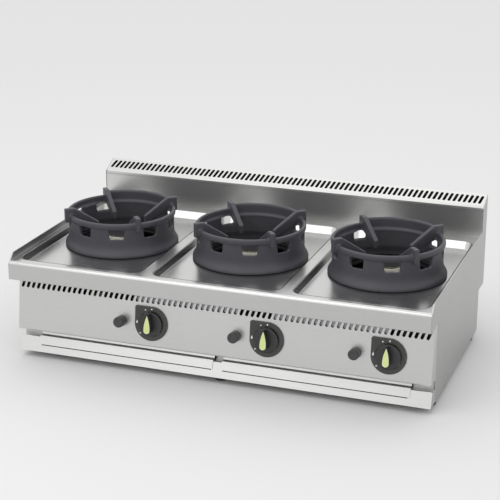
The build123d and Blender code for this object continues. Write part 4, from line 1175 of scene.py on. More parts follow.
@dataclass
class FrontPanels:
    """The slotted control panel with its baffles, the plinth, and the folded side panels."""

    finishes: Finishes
    half_length: float = 598.0
    rear_y: float = 74.8
    end_y: float = 86.8
    panel_top: float = 262.0
    panel_low: float = 85.5
    panel_bend: float = 3.0
    panel_end_bend: float = 1.6
    spindle_hole: float = 6.0
    button_hole: float = 15.3
    slots: SlotRow = SlotRow(count=74, pitch=16.0, length=27.6, width=9.0, slant_deg=20.0, down=26.3)
    baffle_xs: tuple[tuple[float, float], ...] = ((-238.0, 62.0), (160.0, 478.0))
    baffle_sheet: float = 1.0
    baffle_gap: float = 4.5
    baffle_overlap: float = 9.0
    baffle_flange: float = 12.0
    baffle_bend: float = 3.0
    side_front_y: float = 87.0
    side_rear_y: float = 631.8
    side_top: float = 246.2
    side_low: float = 20.0
    side_return: float = 8.0
    side_bend: float = 5.0
    plinth_top: float = 62.0
    plinth_top_y: float = 56.0
    plinth_low_y: float = 41.0
    plinth_short: float = 5.0
    plinth_bend: float = 2.0
    gap: float = 3.3
    gap_top: float = 41.6
    gap_inner: float = 16.0
    gap_outer: float = 534.0

    def build(self) -> None:
        """Make the control panel, the side panels, the baffles and the plinth."""
        looks, body = self.finishes, "casing"
        panel = SheetPiece("control_front", looks.front, body, "steel_front", ("control_panel",))
        panel.make(self.control_front())
        for side, sense in SIDES:
            node = f"side_panel_{side}"
            skin = SheetPiece(f"side_skin_{side}", looks.side, body, "steel_casing", (node,))
            skin.make(self.side_skin(sense))
        for number, (start, end) in enumerate(self.baffle_xs, start=1):
            baffle = SheetPiece(f"slot_baffle_{number}", looks.galvanised, body, "galvanised_steel")
            baffle.sheet_mm = self.baffle_sheet
            baffle.make(self.baffle(start, end))
        plinth = SheetPiece("plinth_front", looks.front, body, "steel_front", ("plinth",))
        plinth.make(self.plinth_front())

    def baffle(self, start: float, end: float) -> BMesh:
        """Build one draught baffle: a strip close behind the slots, hung from the panel's top.

        Args:
            start: its left end.
            end: its right end.

        Returns:
            The mesh in millimetres.
        """
        bm = bmesh.new()
        behind = SHEET + self.baffle_gap
        high = (self.panel_top - FASCIA_LOW) / math.cos(math.radians(PANEL_LEAN_DEG)) - 2 * SHEET
        low = -self.slots.down - self.slots.length / 2 - self.baffle_overlap
        points = [(start, low, -behind), (start, high, -behind), (start, high, -behind - self.baffle_flange)]
        folded(bm, points, (end - start, 0, 0), [self.baffle_bend])
        bmesh.ops.transform(bm, matrix=PANEL_PLACE, verts=bm.verts)
        face_up(bm, (0, -1, 0))
        return bm

    def plinth_front(self) -> BMesh:
        """Build the plinth flat with the gap under each tray's apron, tilt it and fold it.

        Returns:
            The mesh in millimetres.
        """
        bm = bmesh.new()
        lean = math.atan2(self.plinth_top_y - self.plinth_low_y, self.plinth_top - self.side_low)
        length = math.hypot(self.plinth_top_y - self.plinth_low_y, self.plinth_top - self.side_low)
        reach = self.half_length
        loops = rectangle(bm, (-reach, reach), (0, length))
        high = (self.gap_top - self.side_low) / math.cos(lean)
        for _, sense in SIDES:
            ends = sorted((sense * self.gap_inner, sense * self.gap_outer))
            loops += rectangle(bm, (ends[0], ends[1]), (high, high - self.gap))
        bmesh.ops.triangle_fill(bm, edges=loops, use_beauty=True)
        tilt = Matrix.Rotation(math.radians(90) - lean, 4, "X")
        place = Matrix.Translation((0, self.plinth_low_y, self.side_low)) @ tilt
        bmesh.ops.transform(bm, matrix=place, verts=bm.verts)
        bottom, top = edges_on(bm, z=self.side_low), edges_on(bm, z=self.plinth_top)
        for side in (-reach, reach):
            extrude_to_depth(bm, edges_on(bm, x=side), self.end_y)
        extrude_edges(bm, bottom, (0, self.rear_y - self.plinth_low_y - self.plinth_short, 0))
        extrude_edges(bm, top, (0, self.rear_y - self.plinth_top_y, 0))
        for y, z in ((self.plinth_low_y, self.side_low), (self.plinth_top_y, self.plinth_top)):
            fold = [edge for edge in edges_on(bm, y=y, z=z) if edge.calc_length() > reach]
            soften(bm, fold, self.plinth_bend, 4)
        face_up(bm, (0, -1, 0))
        return bm

    def control_front(self) -> BMesh:
        """Build the panel flat with all its openings, tilt it and fold its edges.

        Returns:
            The mesh in millimetres.
        """
        bm = bmesh.new()
        reach, lean = self.half_length, math.radians(PANEL_LEAN_DEG)
        top = (self.panel_top - FASCIA_LOW) / math.cos(lean)
        low = (self.panel_low - FASCIA_LOW) / math.cos(lean)
        loops = self.slots.outlines(bm)
        for x in KNOB_XS:
            loops += circle(bm, self.spindle_hole, (x, -KNOB_DOWN, 0), 16)
            loops += circle(bm, self.button_hole, (x - BUTTON_SIDESTEP, -BUTTON_DOWN, 0))
        loops += rectangle(bm, (-reach, reach), (low, top))
        bmesh.ops.triangle_fill(bm, edges=loops, use_beauty=True)
        bmesh.ops.transform(bm, matrix=PANEL_PLACE, verts=bm.verts)
        bottom, top_edge = edges_on(bm, z=self.panel_low), edges_on(bm, z=self.panel_top)
        low_y, top_y = bottom[0].verts[0].co.y, top_edge[0].verts[0].co.y
        for end in [edges_on(bm, x=side) for side in (-reach, reach)]:
            extrude_to_depth(bm, end, self.end_y)
        extrude_edges(bm, bottom, (0, self.rear_y - low_y, 0))
        extrude_edges(bm, top_edge, (0, self.end_y - top_y, 0))
        fold = [edge for edge in edges_on(bm, y=low_y, z=self.panel_low) if edge.calc_length() > reach]
        soften(bm, fold, self.panel_bend * math.tan(math.radians(90 + PANEL_LEAN_DEG) / 2), 6)
        for side in (-reach, reach):
            upright = [
                edge
                for edge in edges_on(bm, x=side)
                if edge.calc_length() > 100 and min(vert.co.y for vert in edge.verts) < PANEL_Y
            ]
            soften(bm, upright, self.panel_end_bend, 3)
        face_up(bm, (0, -1, 0))
        return bm

    def side_skin(self, sense: float) -> BMesh:
        """Build one side panel with its folded front edge.

        Args:
            sense: -1 for the left, 1 for the right.

        Returns:
            The mesh in millimetres.
        """
        bm = bmesh.new()
        points = [
            (sense * (HALF_WIDTH - self.side_return), self.side_front_y, self.side_low),
            (sense * HALF_WIDTH, self.side_front_y, self.side_low),
            (sense * HALF_WIDTH, self.side_rear_y, self.side_low),
        ]
        folded(bm, points, (0, 0, self.side_top - self.side_low), [self.side_bend])
        face_up(bm, (sense, 0, 0))
        return bm


@dataclass
class DripTray:
    """One pull-out tray: a shallow pan with an apron that hangs over the plinth."""

    finishes: Finishes
    side: str
    sense: float
    inner_x: float = 13.0
    outer_x: float = 540.0
    front_y: float = 71.6
    wall_lean: float = 5.6
    back_y: float = 560.0
    floor_z: float = 66.0
    rim_z: float = 80.0
    shelf_y: float = 55.5
    shelf_bend: float = 1.5
    apron_y: float = 46.8
    apron_z: float = 41.5
    apron_bend: float = 3.0
    corner: float = 6.0

    def build(self) -> None:
        """Make the pan and the apron."""
        body, node, finish = f"tray_{self.side}", f"drip_tray_{self.side}", self.finishes.tray
        SheetPiece(f"tray_pan_{self.side}", finish, body, "steel_tray", (node,)).make(self.pan())
        SheetPiece(f"tray_apron_{self.side}", finish, body, "steel_tray").make(self.apron())

    def pan(self) -> BMesh:
        """Build the folded pan.

        Returns:
            The mesh in millimetres.
        """
        bm = bmesh.new()
        xs = sorted((self.sense * self.inner_x, self.sense * self.outer_x))
        box(bm, (xs[0], self.front_y, self.floor_z - SHEET), (xs[1], self.back_y, self.rim_z))
        lid = [face for face in bm.faces if face.normal.z > 0.9]
        bmesh.ops.delete(bm, geom=lid, context="FACES_ONLY")
        soften(bm, [edge for edge in bm.edges if edge.is_manifold], self.corner, 4)
        face_up(bm, (0, 0, -1))
        return bm

    def apron(self) -> BMesh:
        """Build the shelf and apron that hang from the pan's front.

        Returns:
            The mesh in millimetres.
        """
        bm = bmesh.new()
        start = self.sense * self.inner_x
        points = [
            (start, self.front_y, self.rim_z),
            (start, self.front_y - self.wall_lean, self.floor_z),
            (start, self.shelf_y, self.floor_z),
            (start, self.apron_y, self.apron_z),
        ]
        run = (self.sense * (self.outer_x - self.inner_x), 0, 0)
        folded(bm, points, run, [self.shelf_bend, self.apron_bend])
        face_up(bm, (0, -1, 1))
        return bm


@dataclass
class Control:
    """One knob on its dial plate, with its spark button, modelled in the panel's own frame."""

    finishes: Finishes
    number: int
    x: float
    dial_radius: float = 48.0
    dial_thick: float = 5.0
    dial_corner: float = 4.0
    dial_clearance: float = 0.8
    mark_radius: float = 42.0
    mark_thick: float = 0.12
    dots: tuple[tuple[float, float], ...] = ((88.0, 2.2), (114.0, 2.0), (-137.0, 1.9))  # degrees, radius
    knob_radius: float = 34.5
    skirt_low: float = 6.0
    skirt_top: float = 12.0
    grip_top: float = 35.0
    grip_border: float = 1.2
    grip_soft: float = 0.9
    pointer_thick: float = 1.5
    pointer_tip: float = 29.0
    pointer_tail: float = 21.0
    pointer_radius: float = 8.7
    edge_width: float = 1.5
    edge_rise: float = 0.4
    button_radius: float = 15.0
    button_reach: float = 28.0
    button_inside: float = 12.0
    button_round: float = 3.2

    def build(self) -> None:
        """Make the dial, its marks, the knob, its pointer and the button."""
        looks, n = self.finishes, self.number
        replaced = {
            f"dial_{n}": ("dial_plates",),
            f"knob_grip_{n}": (f"knob_{n}",),
            f"pointer_field_{n}": (f"knob_pointer_{n}",),
            f"spark_button_{n}": (f"igniter_button_{n}",),
        }
        knob_set, button_body = f"knob_{n}_set", f"igniter_{n}_button"
        on_axis = (self.x, -KNOB_DOWN, 0)
        beside = (self.x - BUTTON_SIDESTEP, -BUTTON_DOWN, 0)
        for place, bm, piece in (
            (on_axis, self.dial(), Piece(f"dial_{n}", looks.dial, "casing", "dial_black")),
            (on_axis, self.marks(), Piece(f"dial_marks_{n}", looks.ink, "casing", "dial_black")),
            (on_axis, self.knob(), Piece(f"knob_grip_{n}", looks.knob, knob_set, "knob_black")),
            (on_axis, self.pointer(), Piece(f"pointer_field_{n}", looks.pointer, knob_set, "pointer_green")),
            # The pointer's edge wears the painted highlight colour.
            (on_axis, self.rib(), Piece(f"pointer_edge_highlight_{n}", looks.pointer_edge_highlight, knob_set, "pointer_green")),
            (beside, self.button(), Piece(f"spark_button_{n}", looks.button, button_body, "button_black")),
        ):
            piece.replaces = replaced.get(piece.name, ())
            matrix = PANEL_PLACE @ Matrix.Translation(place)
            bmesh.ops.transform(bm, matrix=matrix, verts=bm.verts)
            piece.make(bm)

    def dial(self) -> BMesh:
        """Build the dial plate: round but for its square upper left corner.

        Returns:
            The mesh in millimetres.
        """
        bm = bmesh.new()
        radius, small = self.dial_radius, self.dial_corner
        corner = arc((-radius + small, radius - small), small, 90, 180, 4)
        rounding = arc((0, 0), radius, 180, 450, 60)
        loops = flat_outline(bm, corner + rounding[1:-1])
        loops += circle(bm, self.knob_radius + self.dial_clearance, (0, 0, 0), 64)
        slab(bm, loops, self.dial_thick)
        soften_rim(bm, self.dial_thick, 1.0)
        return bm

    def marks(self) -> BMesh:
        """Build the printed dots and the small flame of the dial.

        Returns:
            The mesh in millimetres.
        """
        bm = bmesh.new()
        level = self.dial_thick
        for degrees, radius in self.dots:
            angle = math.radians(degrees)
            place = (self.mark_radius * math.cos(angle), self.mark_radius * math.sin(angle), level)
            slab(bm, circle(bm, radius, place, 16), self.mark_thick)
        middle = (-self.mark_radius + 0.6, 0.5)
        flame = arc(middle, 2.3, 160, 380, 10) + [(middle[0] + 0.6, middle[1] + 8.0)]
        slab(bm, flat_outline(bm, flame, level), self.mark_thick)
        return bm

    def drop(self, bm: BMesh, border: float, level: float) -> list[Edge]:
        """Add the drop-shaped outline of grip and pointer.

        Args:
            bm: the mesh.
            border: how much larger than the pointer.
            level: its height.

        Returns:
            The outline's edges.
        """
        centre = self.pointer_radius - self.pointer_tail
        height = self.pointer_tip - centre
        across = (height**2 - self.pointer_radius**2) / (2 * self.pointer_radius)
        side_radius = across + self.pointer_radius + border
        peak = math.degrees(math.acos(across / side_radius))
        tail = arc((0, centre), self.pointer_radius + border, 0, -180, 24)
        left = arc((across, centre), side_radius, 180, 180 - peak, 12)
        right = arc((-across, centre), side_radius, peak, 0, 12)
        return flat_outline(bm, tail + left[1:] + right[1:-1], level)

    def knob(self) -> BMesh:
        """Build the knob: a rounded skirt and a drop-shaped grip with soft edges.

        Returns:
            The mesh in millimetres.
        """
        bm = bmesh.new()
        radius, low, top = self.knob_radius, self.skirt_low, self.skirt_top
        section = [
            (0.0, low),
            (radius - 0.5, low),
            (radius, low + 0.5),
            *arc((radius - 2.5, top - 2.5), 2.5, 0, 80, 5),
            (radius - 8, top),
            (0.0, top),
        ]
        wheel(bm, section, 96)
        grip = bmesh.new()
        height = self.grip_top - self.pointer_thick - top + 1
        slab(grip, self.drop(grip, self.grip_border, top - 1), height)
        soften_rim(grip, top - 1 + height, self.grip_soft)
        absorb(bm, grip)
        return bm

    def pointer(self) -> BMesh:
        """Build the pale field of the pointer, a little below its edge.

        Returns:
            The mesh in millimetres.
        """
        bm = bmesh.new()
        field_outline = self.drop(bm, 0.1 - self.edge_width, self.grip_top - self.pointer_thick)
        slab(bm, field_outline, self.pointer_thick - self.edge_rise)
        return bm

    def rib(self) -> BMesh:
        """Build the rib round the pointer's field, which wears the painted highlight colour.

        Returns:
            The mesh in millimetres.
        """
        bm = bmesh.new()
        low = self.grip_top - self.pointer_thick
        slab(bm, self.drop(bm, 0.0, low) + self.drop(bm, -self.edge_width, low), self.pointer_thick)
        soften_rim(bm, self.grip_top, 0.35, 2)
        return bm

    def button(self) -> BMesh:
        """Build the push button with its soft rim and slightly hollow face.

        Returns:
            The mesh in millimetres.
        """
        bm = bmesh.new()
        radius, top, soft = self.button_radius, self.button_reach, self.button_round
        section = [
            (0.0, -self.button_inside),
            (radius, -self.button_inside),
            *arc((radius - soft, top - soft), soft, 0, 90, 7),
            (radius - 5.5, top - 0.2),
            (radius * 0.4, top - 0.9),
            (0.0, top - 1.0),
        ]
        wheel(bm, section, 64)
        return bm


@dataclass
class Burner:
    """One cast burner head with its lift-off cap and its mixing tube."""

    finishes: Finishes
    number: int
    x: float
    seat_z: float = 258.0
    flange_thick: float = 5.0
    flange_x: float = 68.0
    flange_y: float = 70.0
    flange_corner: float = 14.0
    head_top: float = 306.0
    head_radius: float = 48.0
    bowl_radius: float = 40.0
    neck_radius: float = 22.0
    bore_radius: float = 14.0
    mixer_z: float = 190.0
    cap_radius: float = 50.0
    cap_low: float = 311.3
    cap_top: float = 314.3
    skirt_outer: float = 39.4
    skirt_inner: float = 36.4
    skirt_depth: float = 13.0
    teeth: int = 12

    def build(self) -> None:
        """Make the casting and the cap."""
        looks, n = self.finishes, self.number
        body_node, cap_node = (f"burner_body_{n}",), (f"burner_cap_{n}",)
        cap_body = f"burner_cap_{n}_lift"
        casting = Piece(f"burner_casting_{n}", looks.head, "casing", "burner_iron", body_node)
        casting.make(self.casting())
        Piece(f"flame_cap_{n}", looks.cap, cap_body, "burner_cap_steel", cap_node).make(self.cap())

    def casting(self) -> BMesh:
        """Build head, flange, neck and mixing tube with its bell mouth.

        Returns:
            The mesh in millimetres.
        """
        bm = bmesh.new()
        flange_top = self.seat_z + self.flange_thick
        radius, top, seat = self.head_radius, self.head_top, self.seat_z
        head = [
            (self.bowl_radius, flange_top),
            (self.bowl_radius, top - 1),
            (self.bowl_radius + 1, top),
            (radius - 1.5, top),
            (radius, top - 1.5),
            (radius, top - 6),
            (radius - 1.2, top - 6.8),
            (radius - 1.2, top - 9),
            (radius, top - 9.8),
            (radius, flange_top + 4),
            (radius + 4, flange_top),
            (radius + 4, seat - 6),
            (radius - 6, seat - 8),
            (self.neck_radius + 2.0, seat - 10),
            (self.neck_radius, seat - 14),
            (self.neck_radius, self.mixer_z),
            (self.bore_radius, self.mixer_z),
            (self.bore_radius, flange_top),
        ]
        wheel(bm, head, 96, (self.x, BURNER_Y), closed=True)
        flange = bmesh.new()
        low = (self.x - self.flange_x, BURNER_Y - self.flange_y, seat)
        high = (self.x + self.flange_x, BURNER_Y + self.flange_y, flange_top)
        box(flange, low, high)
        upright = [edge for edge in flange.edges if abs(edge.verts[0].co.z - edge.verts[1].co.z) > 1]
        soften(flange, upright, self.flange_corner, 6)
        soften(flange, sharp_edges(flange, 60), 1.0, 2)
        absorb(bm, flange)
        absorb(bm, self.mixer())
        return bm

    def mixer(self) -> BMesh:
        """Build the mixing tube: closed behind the neck, flared at its mouth in front.

        Returns:
            The mesh in millimetres.
        """
        bm = bmesh.new()
        bore = self.bore_radius
        closed_end = [(0.0, -18.0), (8.0, -17.0), (15.0, -13.0), (18.0, -6.0)]
        bell = [(18.0, 150.0), (19.0, 157.0), (25.0, 163.0), (25.0, 172.0), (22.0, 172.0), (21.0, 164.0)]
        wheel(bm, [*closed_end, *bell, (bore, 157.0), (bore, 120.0), (0.0, 120.0)], 48)
        turn = Matrix.Rotation(math.radians(90), 4, "X")
        matrix = Matrix.Translation((self.x, BURNER_Y, self.mixer_z)) @ turn
        bmesh.ops.transform(bm, matrix=matrix, verts=bm.verts)
        return bm

    def cap(self) -> BMesh:
        """Build the cap plate with its skirt and flame teeth.

        Returns:
            The mesh in millimetres.
        """
        bm = bmesh.new()
        low, top, radius = self.cap_low, self.cap_top, self.cap_radius
        section = [
            (0.0, low),
            (self.skirt_inner, low),
            (self.skirt_inner, low - self.skirt_depth),
            (self.skirt_outer, low - self.skirt_depth),
            (self.skirt_outer, low),
            (radius - 0.8, low),
            (radius, low + 0.8),
            (radius, top - 1.0),
            (radius - 1.0, top - 0.3),
            (radius - 6, top - 0.3),
            (radius - 8, top),
            (8.0, top),
            (6.0, top - 0.8),
            (0.0, top - 0.8),
        ]
        wheel(bm, section, 96, (self.x, BURNER_Y))
        comb = bmesh.new()
        box(comb, (self.skirt_outer + 2.0, -2, low - 5), (self.skirt_outer + 6.5, 2, low))
        copy_around(comb, self.teeth, math.tau * (self.teeth - 1) / self.teeth)
        bmesh.ops.translate(comb, verts=comb.verts, vec=(self.x, BURNER_Y, 0))
        absorb(bm, comb)
        return bm


@dataclass
class Foot:
    """One levelling foot: a moulded pad, a steel lock nut and a threaded stud."""

    finishes: Finishes
    number: int
    place: tuple[float, float]
    radius: float = 17.0
    pad_height: float = 14.0
    nut_top: float = 19.4
    nut_radius: float = 12.6
    stud_radius: float = 5.0
    stud_top: float = 52.0
    thread_depth: float = 0.9
    thread_pitch: float = 1.75
    rib_depth: float = 0.6
    rib_half: float = 0.8
    rib_count: int = 24

    def build(self) -> None:
        """Make the pad and the threaded stud."""
        looks, n = self.finishes, self.number
        body = f"foot_{n}_screw"
        Piece(f"foot_pad_{n}", looks.foot, body, "foot_black", (f"foot_{n}",)).make(self.pad())
        Piece(f"foot_stud_{n}", looks.steel_bar, body, "foot_black").make(self.stud())

    def pad(self) -> BMesh:
        """Build the moulded pad with its gripping ribs.

        Returns:
            The mesh in millimetres.
        """
        bm = bmesh.new()
        radius, top = self.radius - self.rib_depth, self.pad_height
        side = [(radius - 1.5, 0.0), (radius, 1.5), (radius, top - 3), (radius - 3, top)]
        wheel(bm, [(0.0, 0.0), *side, (0.0, top)], 48)
        ribs = bmesh.new()
        box(ribs, (radius - 1.0, -self.rib_half, 2.0), (self.radius - 0.02, self.rib_half, top - 3.5))
        copy_around(ribs, self.rib_count, math.tau * (self.rib_count - 1) / self.rib_count)
        absorb(bm, ribs)
        bmesh.ops.translate(bm, verts=bm.verts, vec=(*self.place, 0))
        return bm

    def stud(self) -> BMesh:
        """Build the stud with its thread crests and the hexagonal lock nut.

        Returns:
            The mesh in millimetres.
        """
        bm = bmesh.new()
        low, radius = self.pad_height - 1, self.stud_radius
        root = radius - self.thread_depth
        turns = int((self.stud_top - self.nut_top - 1) / self.thread_pitch)
        crests = thread_crests(root, radius, self.nut_top, self.thread_pitch, turns)
        end = [(radius - 1.0, self.stud_top), (0.0, self.stud_top)]
        wheel(bm, [(0.0, low), (root, low), *crests, *end], 24)
        nut = bmesh.new()
        bmesh.ops.create_cone(
            nut,
            cap_ends=True,
            segments=6,
            radius1=self.nut_radius,
            radius2=self.nut_radius,
            depth=self.nut_top - self.pad_height,
            matrix=Matrix.Translation((0, 0, (self.pad_height + self.nut_top) / 2)),
        )
        soften(nut, sharp_edges(nut, 50), 0.5, 2)
        absorb(bm, nut)
        bmesh.ops.translate(bm, verts=bm.verts, vec=(*self.place, 0))
        return bm


@dataclass
class RearDetails:
    """The screws of the lower rear panel and the thread of the gas inlet."""

    finishes: Finishes
    screw_radius: float = 4.0
    screw_xs: tuple[float, ...] = (-560.0, -280.0, 0.0, 280.0, 530.0)
    screw_zs: tuple[float, ...] = (34.0, 150.0)
    panel_y: float = 631.7
    inlet_x: float = 560.0
    inlet_z: float = 112.22
    inlet_start: float = 673.0
    inlet_end: float = 692.0
    thread_radius: float = 10.48
    thread_inner: float = 9.0
    thread_pitch: float = 1.814

    def build(self) -> None:
        """Make the screws and the threaded inlet."""
        looks = self.finishes
        Piece("rear_screws", looks.steel_bar, "casing", "zinc_pipe").make(self.screws())
        Piece("inlet_thread", looks.zinc, "casing", "zinc_pipe").make(self.thread())

    def screws(self) -> BMesh:
        """Build the pan-head screws of the lower rear panel.

        Returns:
            The mesh in millimetres.
        """
        bm = bmesh.new()
        radius = self.screw_radius
        dome = [(radius, 0.8), (radius * 0.8, 1.7), (radius * 0.4, 2.1), (0.0, 2.15)]
        turn = Matrix.Rotation(math.radians(-90), 4, "X")
        for z in self.screw_zs:
            for x in self.screw_xs:
                head = bmesh.new()
                wheel(head, [(0.0, 0.0), (radius, 0.0), *dome], 20)
                matrix = Matrix.Translation((x, self.panel_y, z)) @ turn
                bmesh.ops.transform(head, matrix=matrix, verts=head.verts)
                absorb(bm, head)
        return bm

    def thread(self) -> BMesh:
        """Build the crests of the inlet's pipe thread.

        Returns:
            The mesh in millimetres.
        """
        bm = bmesh.new()
        root, crest = self.thread_radius - 0.02, self.thread_radius + 0.25
        turns = int((self.inlet_end - self.inlet_start - 1) / self.thread_pitch)
        last = turns * self.thread_pitch
        section = thread_crests(root, crest, 0.0, self.thread_pitch, turns)
        section += [(root, last), (self.thread_inner, last), (self.thread_inner, 0.0)]
        wheel(bm, section, 32, closed=True)
        turn = Matrix.Rotation(math.radians(-90), 4, "X")
        place = Matrix.Translation((self.inlet_x, self.inlet_start + 0.5, self.inlet_z))
        bmesh.ops.transform(bm, matrix=place @ turn, verts=bm.verts)
        return bm


@dataclass
class WokRing:
    """One cast ring: belly, wall with windows, band, raised rear quadrant and four arms."""

    finishes: Finishes
    number: int
    x: float
    foot_z: float = 280.3
    height: float = 99.7
    foot_radius: float = 158.0
    belly_radius: float = 165.0
    wall_radius: float = 153.0
    wall_inner: float = 143.0
    band_radius: float = 157.5
    band_inner: float = 147.0
    band_height: float = 15.0
    ledge_radius: float = 142.0
    shield_rise: float = 12.0
    shield_sunk: float = 6.0
    shield_round: float = 3.0
    arm_degs: tuple[float, ...] = (45.0, 135.0, 225.0, 315.0)
    arm_turn_deg: float = -3.5
    arm_thick: float = 13.5
    arm_outer: float = 169.5
    arm_flat_inner: float = 140.0
    arm_root_drop: float = 8.0
    arm_tip: float = 69.0
    arm_rise: float = 18.0
    arm_tip_drop: float = 30.0
    arm_tip_height: float = 24.0
    window_pitch: float = 38.0
    window_count: int = 8
    window_top: float = 46.0
    window_bottom: float = 39.0
    window_height: float = 27.5
    window_below_band: float = 2.0
    window_drop_deg: float = 25.0
    window_corner: float = 3.0
    cutter_run: float = 26.0
    cutter_start: float = 3.0
    grain_mm: float = 2.0
    melt_passes: int = 3

    @property
    def top_z(self) -> float:
        """Height of the band's top."""
        return self.foot_z + self.height

    def section(self) -> Loop:
        """The wall's closed section, with the casting's soft corners.

        Returns:
            Radius and height of its corners.
        """
        low, top = self.foot_z, self.top_z
        band_low = top - self.band_height
        belly, wall, band, ledge = self.belly_radius, self.wall_radius, self.band_radius, self.ledge_radius
        return [
            (belly - 2.5, low),
            (belly - 0.7, low + 1.5),
            (belly, low + 4.0),
            (belly, low + 6.0),
            (belly - 1.2, low + 9.5),
            (wall + 7.0, low + 15.0),
            (wall + 3.0, low + 22.0),
            (wall + 0.8, low + 30.0),
            (wall, low + 38.0),
            (wall, band_low - 3.0),
            (wall + 1.5, band_low - 1.0),
            (band - 0.6, band_low + 1.0),
            (band, band_low + 3.5),
            (band, top - 3.5),
            (band - 1.2, top - 1.0),
            (band - 3.5, top),
            (self.band_inner + 2.0, top),
            (self.band_inner, top - 2.0),
            (self.band_inner, band_low - 2.0),
            (ledge + 0.8, band_low - 6.0),
            (ledge, band_low - 8.0),
            (ledge, band_low - 10.0),
            (self.wall_inner, band_low - 16.0),
            (self.wall_inner, low + 28.0),
            (self.foot_radius - 8.0, low + 10.0),
            (self.foot_radius - 8.0, low),
        ]

    def shield(self, bm: BMesh) -> None:
        """Add the raised rear quadrant of the band.

        Args:
            bm: the mesh.
        """
        low, high = self.top_z - self.shield_sunk, self.top_z + self.shield_rise
        inner, outer, soft = self.band_inner, self.band_radius, self.shield_round
        section = [
            (inner, low),
            (outer, low),
            (outer, high - soft),
            (outer - soft, high),
            (inner + soft, high),
            (inner, high - soft),
        ]
        start = math.radians(self.arm_degs[0] + self.arm_turn_deg)
        points = [(r * math.cos(start), r * math.sin(start), z) for r, z in section]
        edges = add_outline(bm, points, closed=True)
        bmesh.ops.contextual_create(bm, geom=edges)
        far_end = swing(bm, edges, (0, 0, 0), (0, 0, 1), 90, 40)
        bmesh.ops.contextual_create(bm, geom=far_end)

    def arm(self, bm: BMesh, azimuth: float) -> None:
        """Add one sloping arm.

        Args:
            bm: the mesh.
            azimuth: its direction in degrees.
        """
        top = self.top_z + self.arm_rise
        tip_top = self.top_z - self.arm_tip_drop
        root_low = self.top_z - self.band_height - self.arm_root_drop
        outline = [
            (self.arm_outer, root_low),
            (self.arm_outer, top),
            (self.arm_flat_inner, top),
            (self.arm_tip, tip_top),
            (self.arm_tip, tip_top - self.arm_tip_height),
            (self.ledge_radius + 1, root_low),
        ]
        faces = prism(bm, [(r, -self.arm_thick / 2, z) for r, z in outline], (0, self.arm_thick, 0))
        verts = list({vert for face in faces for vert in face.verts})
        turn = Matrix.Rotation(math.radians(azimuth), 3, "Z")
        bmesh.ops.rotate(bm, verts=verts, cent=(0, 0, 0), matrix=turn)

    def window_cutters(self) -> BMesh:
        """Build the eight tapered window cutters about the ring's axis.

        Returns:
            The mesh in millimetres.
        """
        bm = bmesh.new()
        slope = math.tan(math.radians(self.window_drop_deg))
        start, run = self.wall_radius + self.cutter_start, self.cutter_run
        top = self.top_z - self.band_height - self.window_below_band
        low = top - self.window_height
        rise = self.cutter_start * slope
        outline = [
            (start, -self.window_top / 2, top + rise),
            (start, self.window_top / 2, top + rise),
            (start, self.window_bottom / 2, low + rise),
            (start, -self.window_bottom / 2, low + rise),
        ]
        prism(bm, outline, (-run, 0, -run * slope))
        sides = [edge for edge in bm.edges if abs(edge.verts[0].co.x - edge.verts[1].co.x) > run / 2]
        soften(bm, sides, self.window_corner, 3)
        span = math.radians((self.window_count - 1) * self.window_pitch)
        first = Matrix.Rotation(-math.pi / 2 - span / 2, 3, "Z")
        bmesh.ops.rotate(bm, verts=bm.verts, cent=(0, 0, 0), matrix=first)
        copy_around(bm, self.window_count, span)
        bmesh.ops.recalc_face_normals(bm, faces=bm.faces)
        return bm

    def casting(self) -> bpy.types.Mesh:
        """Cut the windows, join all parts and melt the edges as a casting's are.

        Returns:
            The mesh in millimetres, about the ring's axis.
        """
        wall = bmesh.new()
        wheel(wall, self.section(), 144, closed=True)
        bmesh.ops.remove_doubles(wall, verts=wall.verts, dist=0.001)
        bmesh.ops.recalc_face_normals(wall, faces=wall.faces)
        base = loose_object("casting_base", wall)
        cut_away(base, loose_object("casting_cut", self.window_cutters()))
        whole = bmesh.new()
        whole.from_mesh(base.data)
        self.shield(whole)
        for azimuth in self.arm_degs:
            self.arm(whole, azimuth + self.arm_turn_deg)
        bmesh.ops.recalc_face_normals(whole, faces=whole.faces)
        whole.to_mesh(base.data)
        whole.free()
        melt = base.modifiers.new("melt", "REMESH")
        melt.mode = "VOXEL"
        melt.voxel_size = self.grain_mm
        bake_modifiers(base)
        mesh = base.data
        bm = bmesh.new()
        bm.from_mesh(mesh)
        axes = {"use_axis_x": True, "use_axis_y": True, "use_axis_z": True}
        for _ in range(self.melt_passes):
            bmesh.ops.smooth_vert(bm, verts=bm.verts, factor=0.5, **axes)
        bm.to_mesh(mesh)
        bm.free()
        bpy.data.objects.remove(base)
        return mesh

    def build(self, casting: bpy.types.Mesh) -> None:
        """Set a copy of the casting on its burner.

        Args:
            casting: the shared shape, about its own axis.
        """
        bm = bmesh.new()
        bm.from_mesh(casting)
        bmesh.ops.translate(bm, verts=bm.verts, vec=(self.x, BURNER_Y, 0))
        n = self.number
        body, nodes = f"wok_ring_{n}_lift", (f"wok_ring_{n}",)
        Piece(f"ring_casting_{n}", self.finishes.iron, body, "ring_iron", nodes, smooth_deg=60.0).make(bm)


# ------------------------------------------------------------------ stage


@dataclass(frozen=True)
class Lamp:
    """One square soft lamp, in the frame's metres, and the point that it faces."""

    name: str
    place: Point
    size: float
    watts: float
    target: Point

    def build(self) -> None:
        """Hang the lamp."""
        data = bpy.data.lights.new(self.name, "AREA")
        data.shape = "SQUARE"
        data.size = self.size
        data.energy = self.watts
        item = bpy.data.objects.new(self.name, data)
        item.location = self.place
        aim = Vector(self.target) - Vector(self.place)
        item.rotation_euler = aim.to_track_quat("-Z", "Y").to_euler()
        bpy.context.scene.collection.objects.link(item)


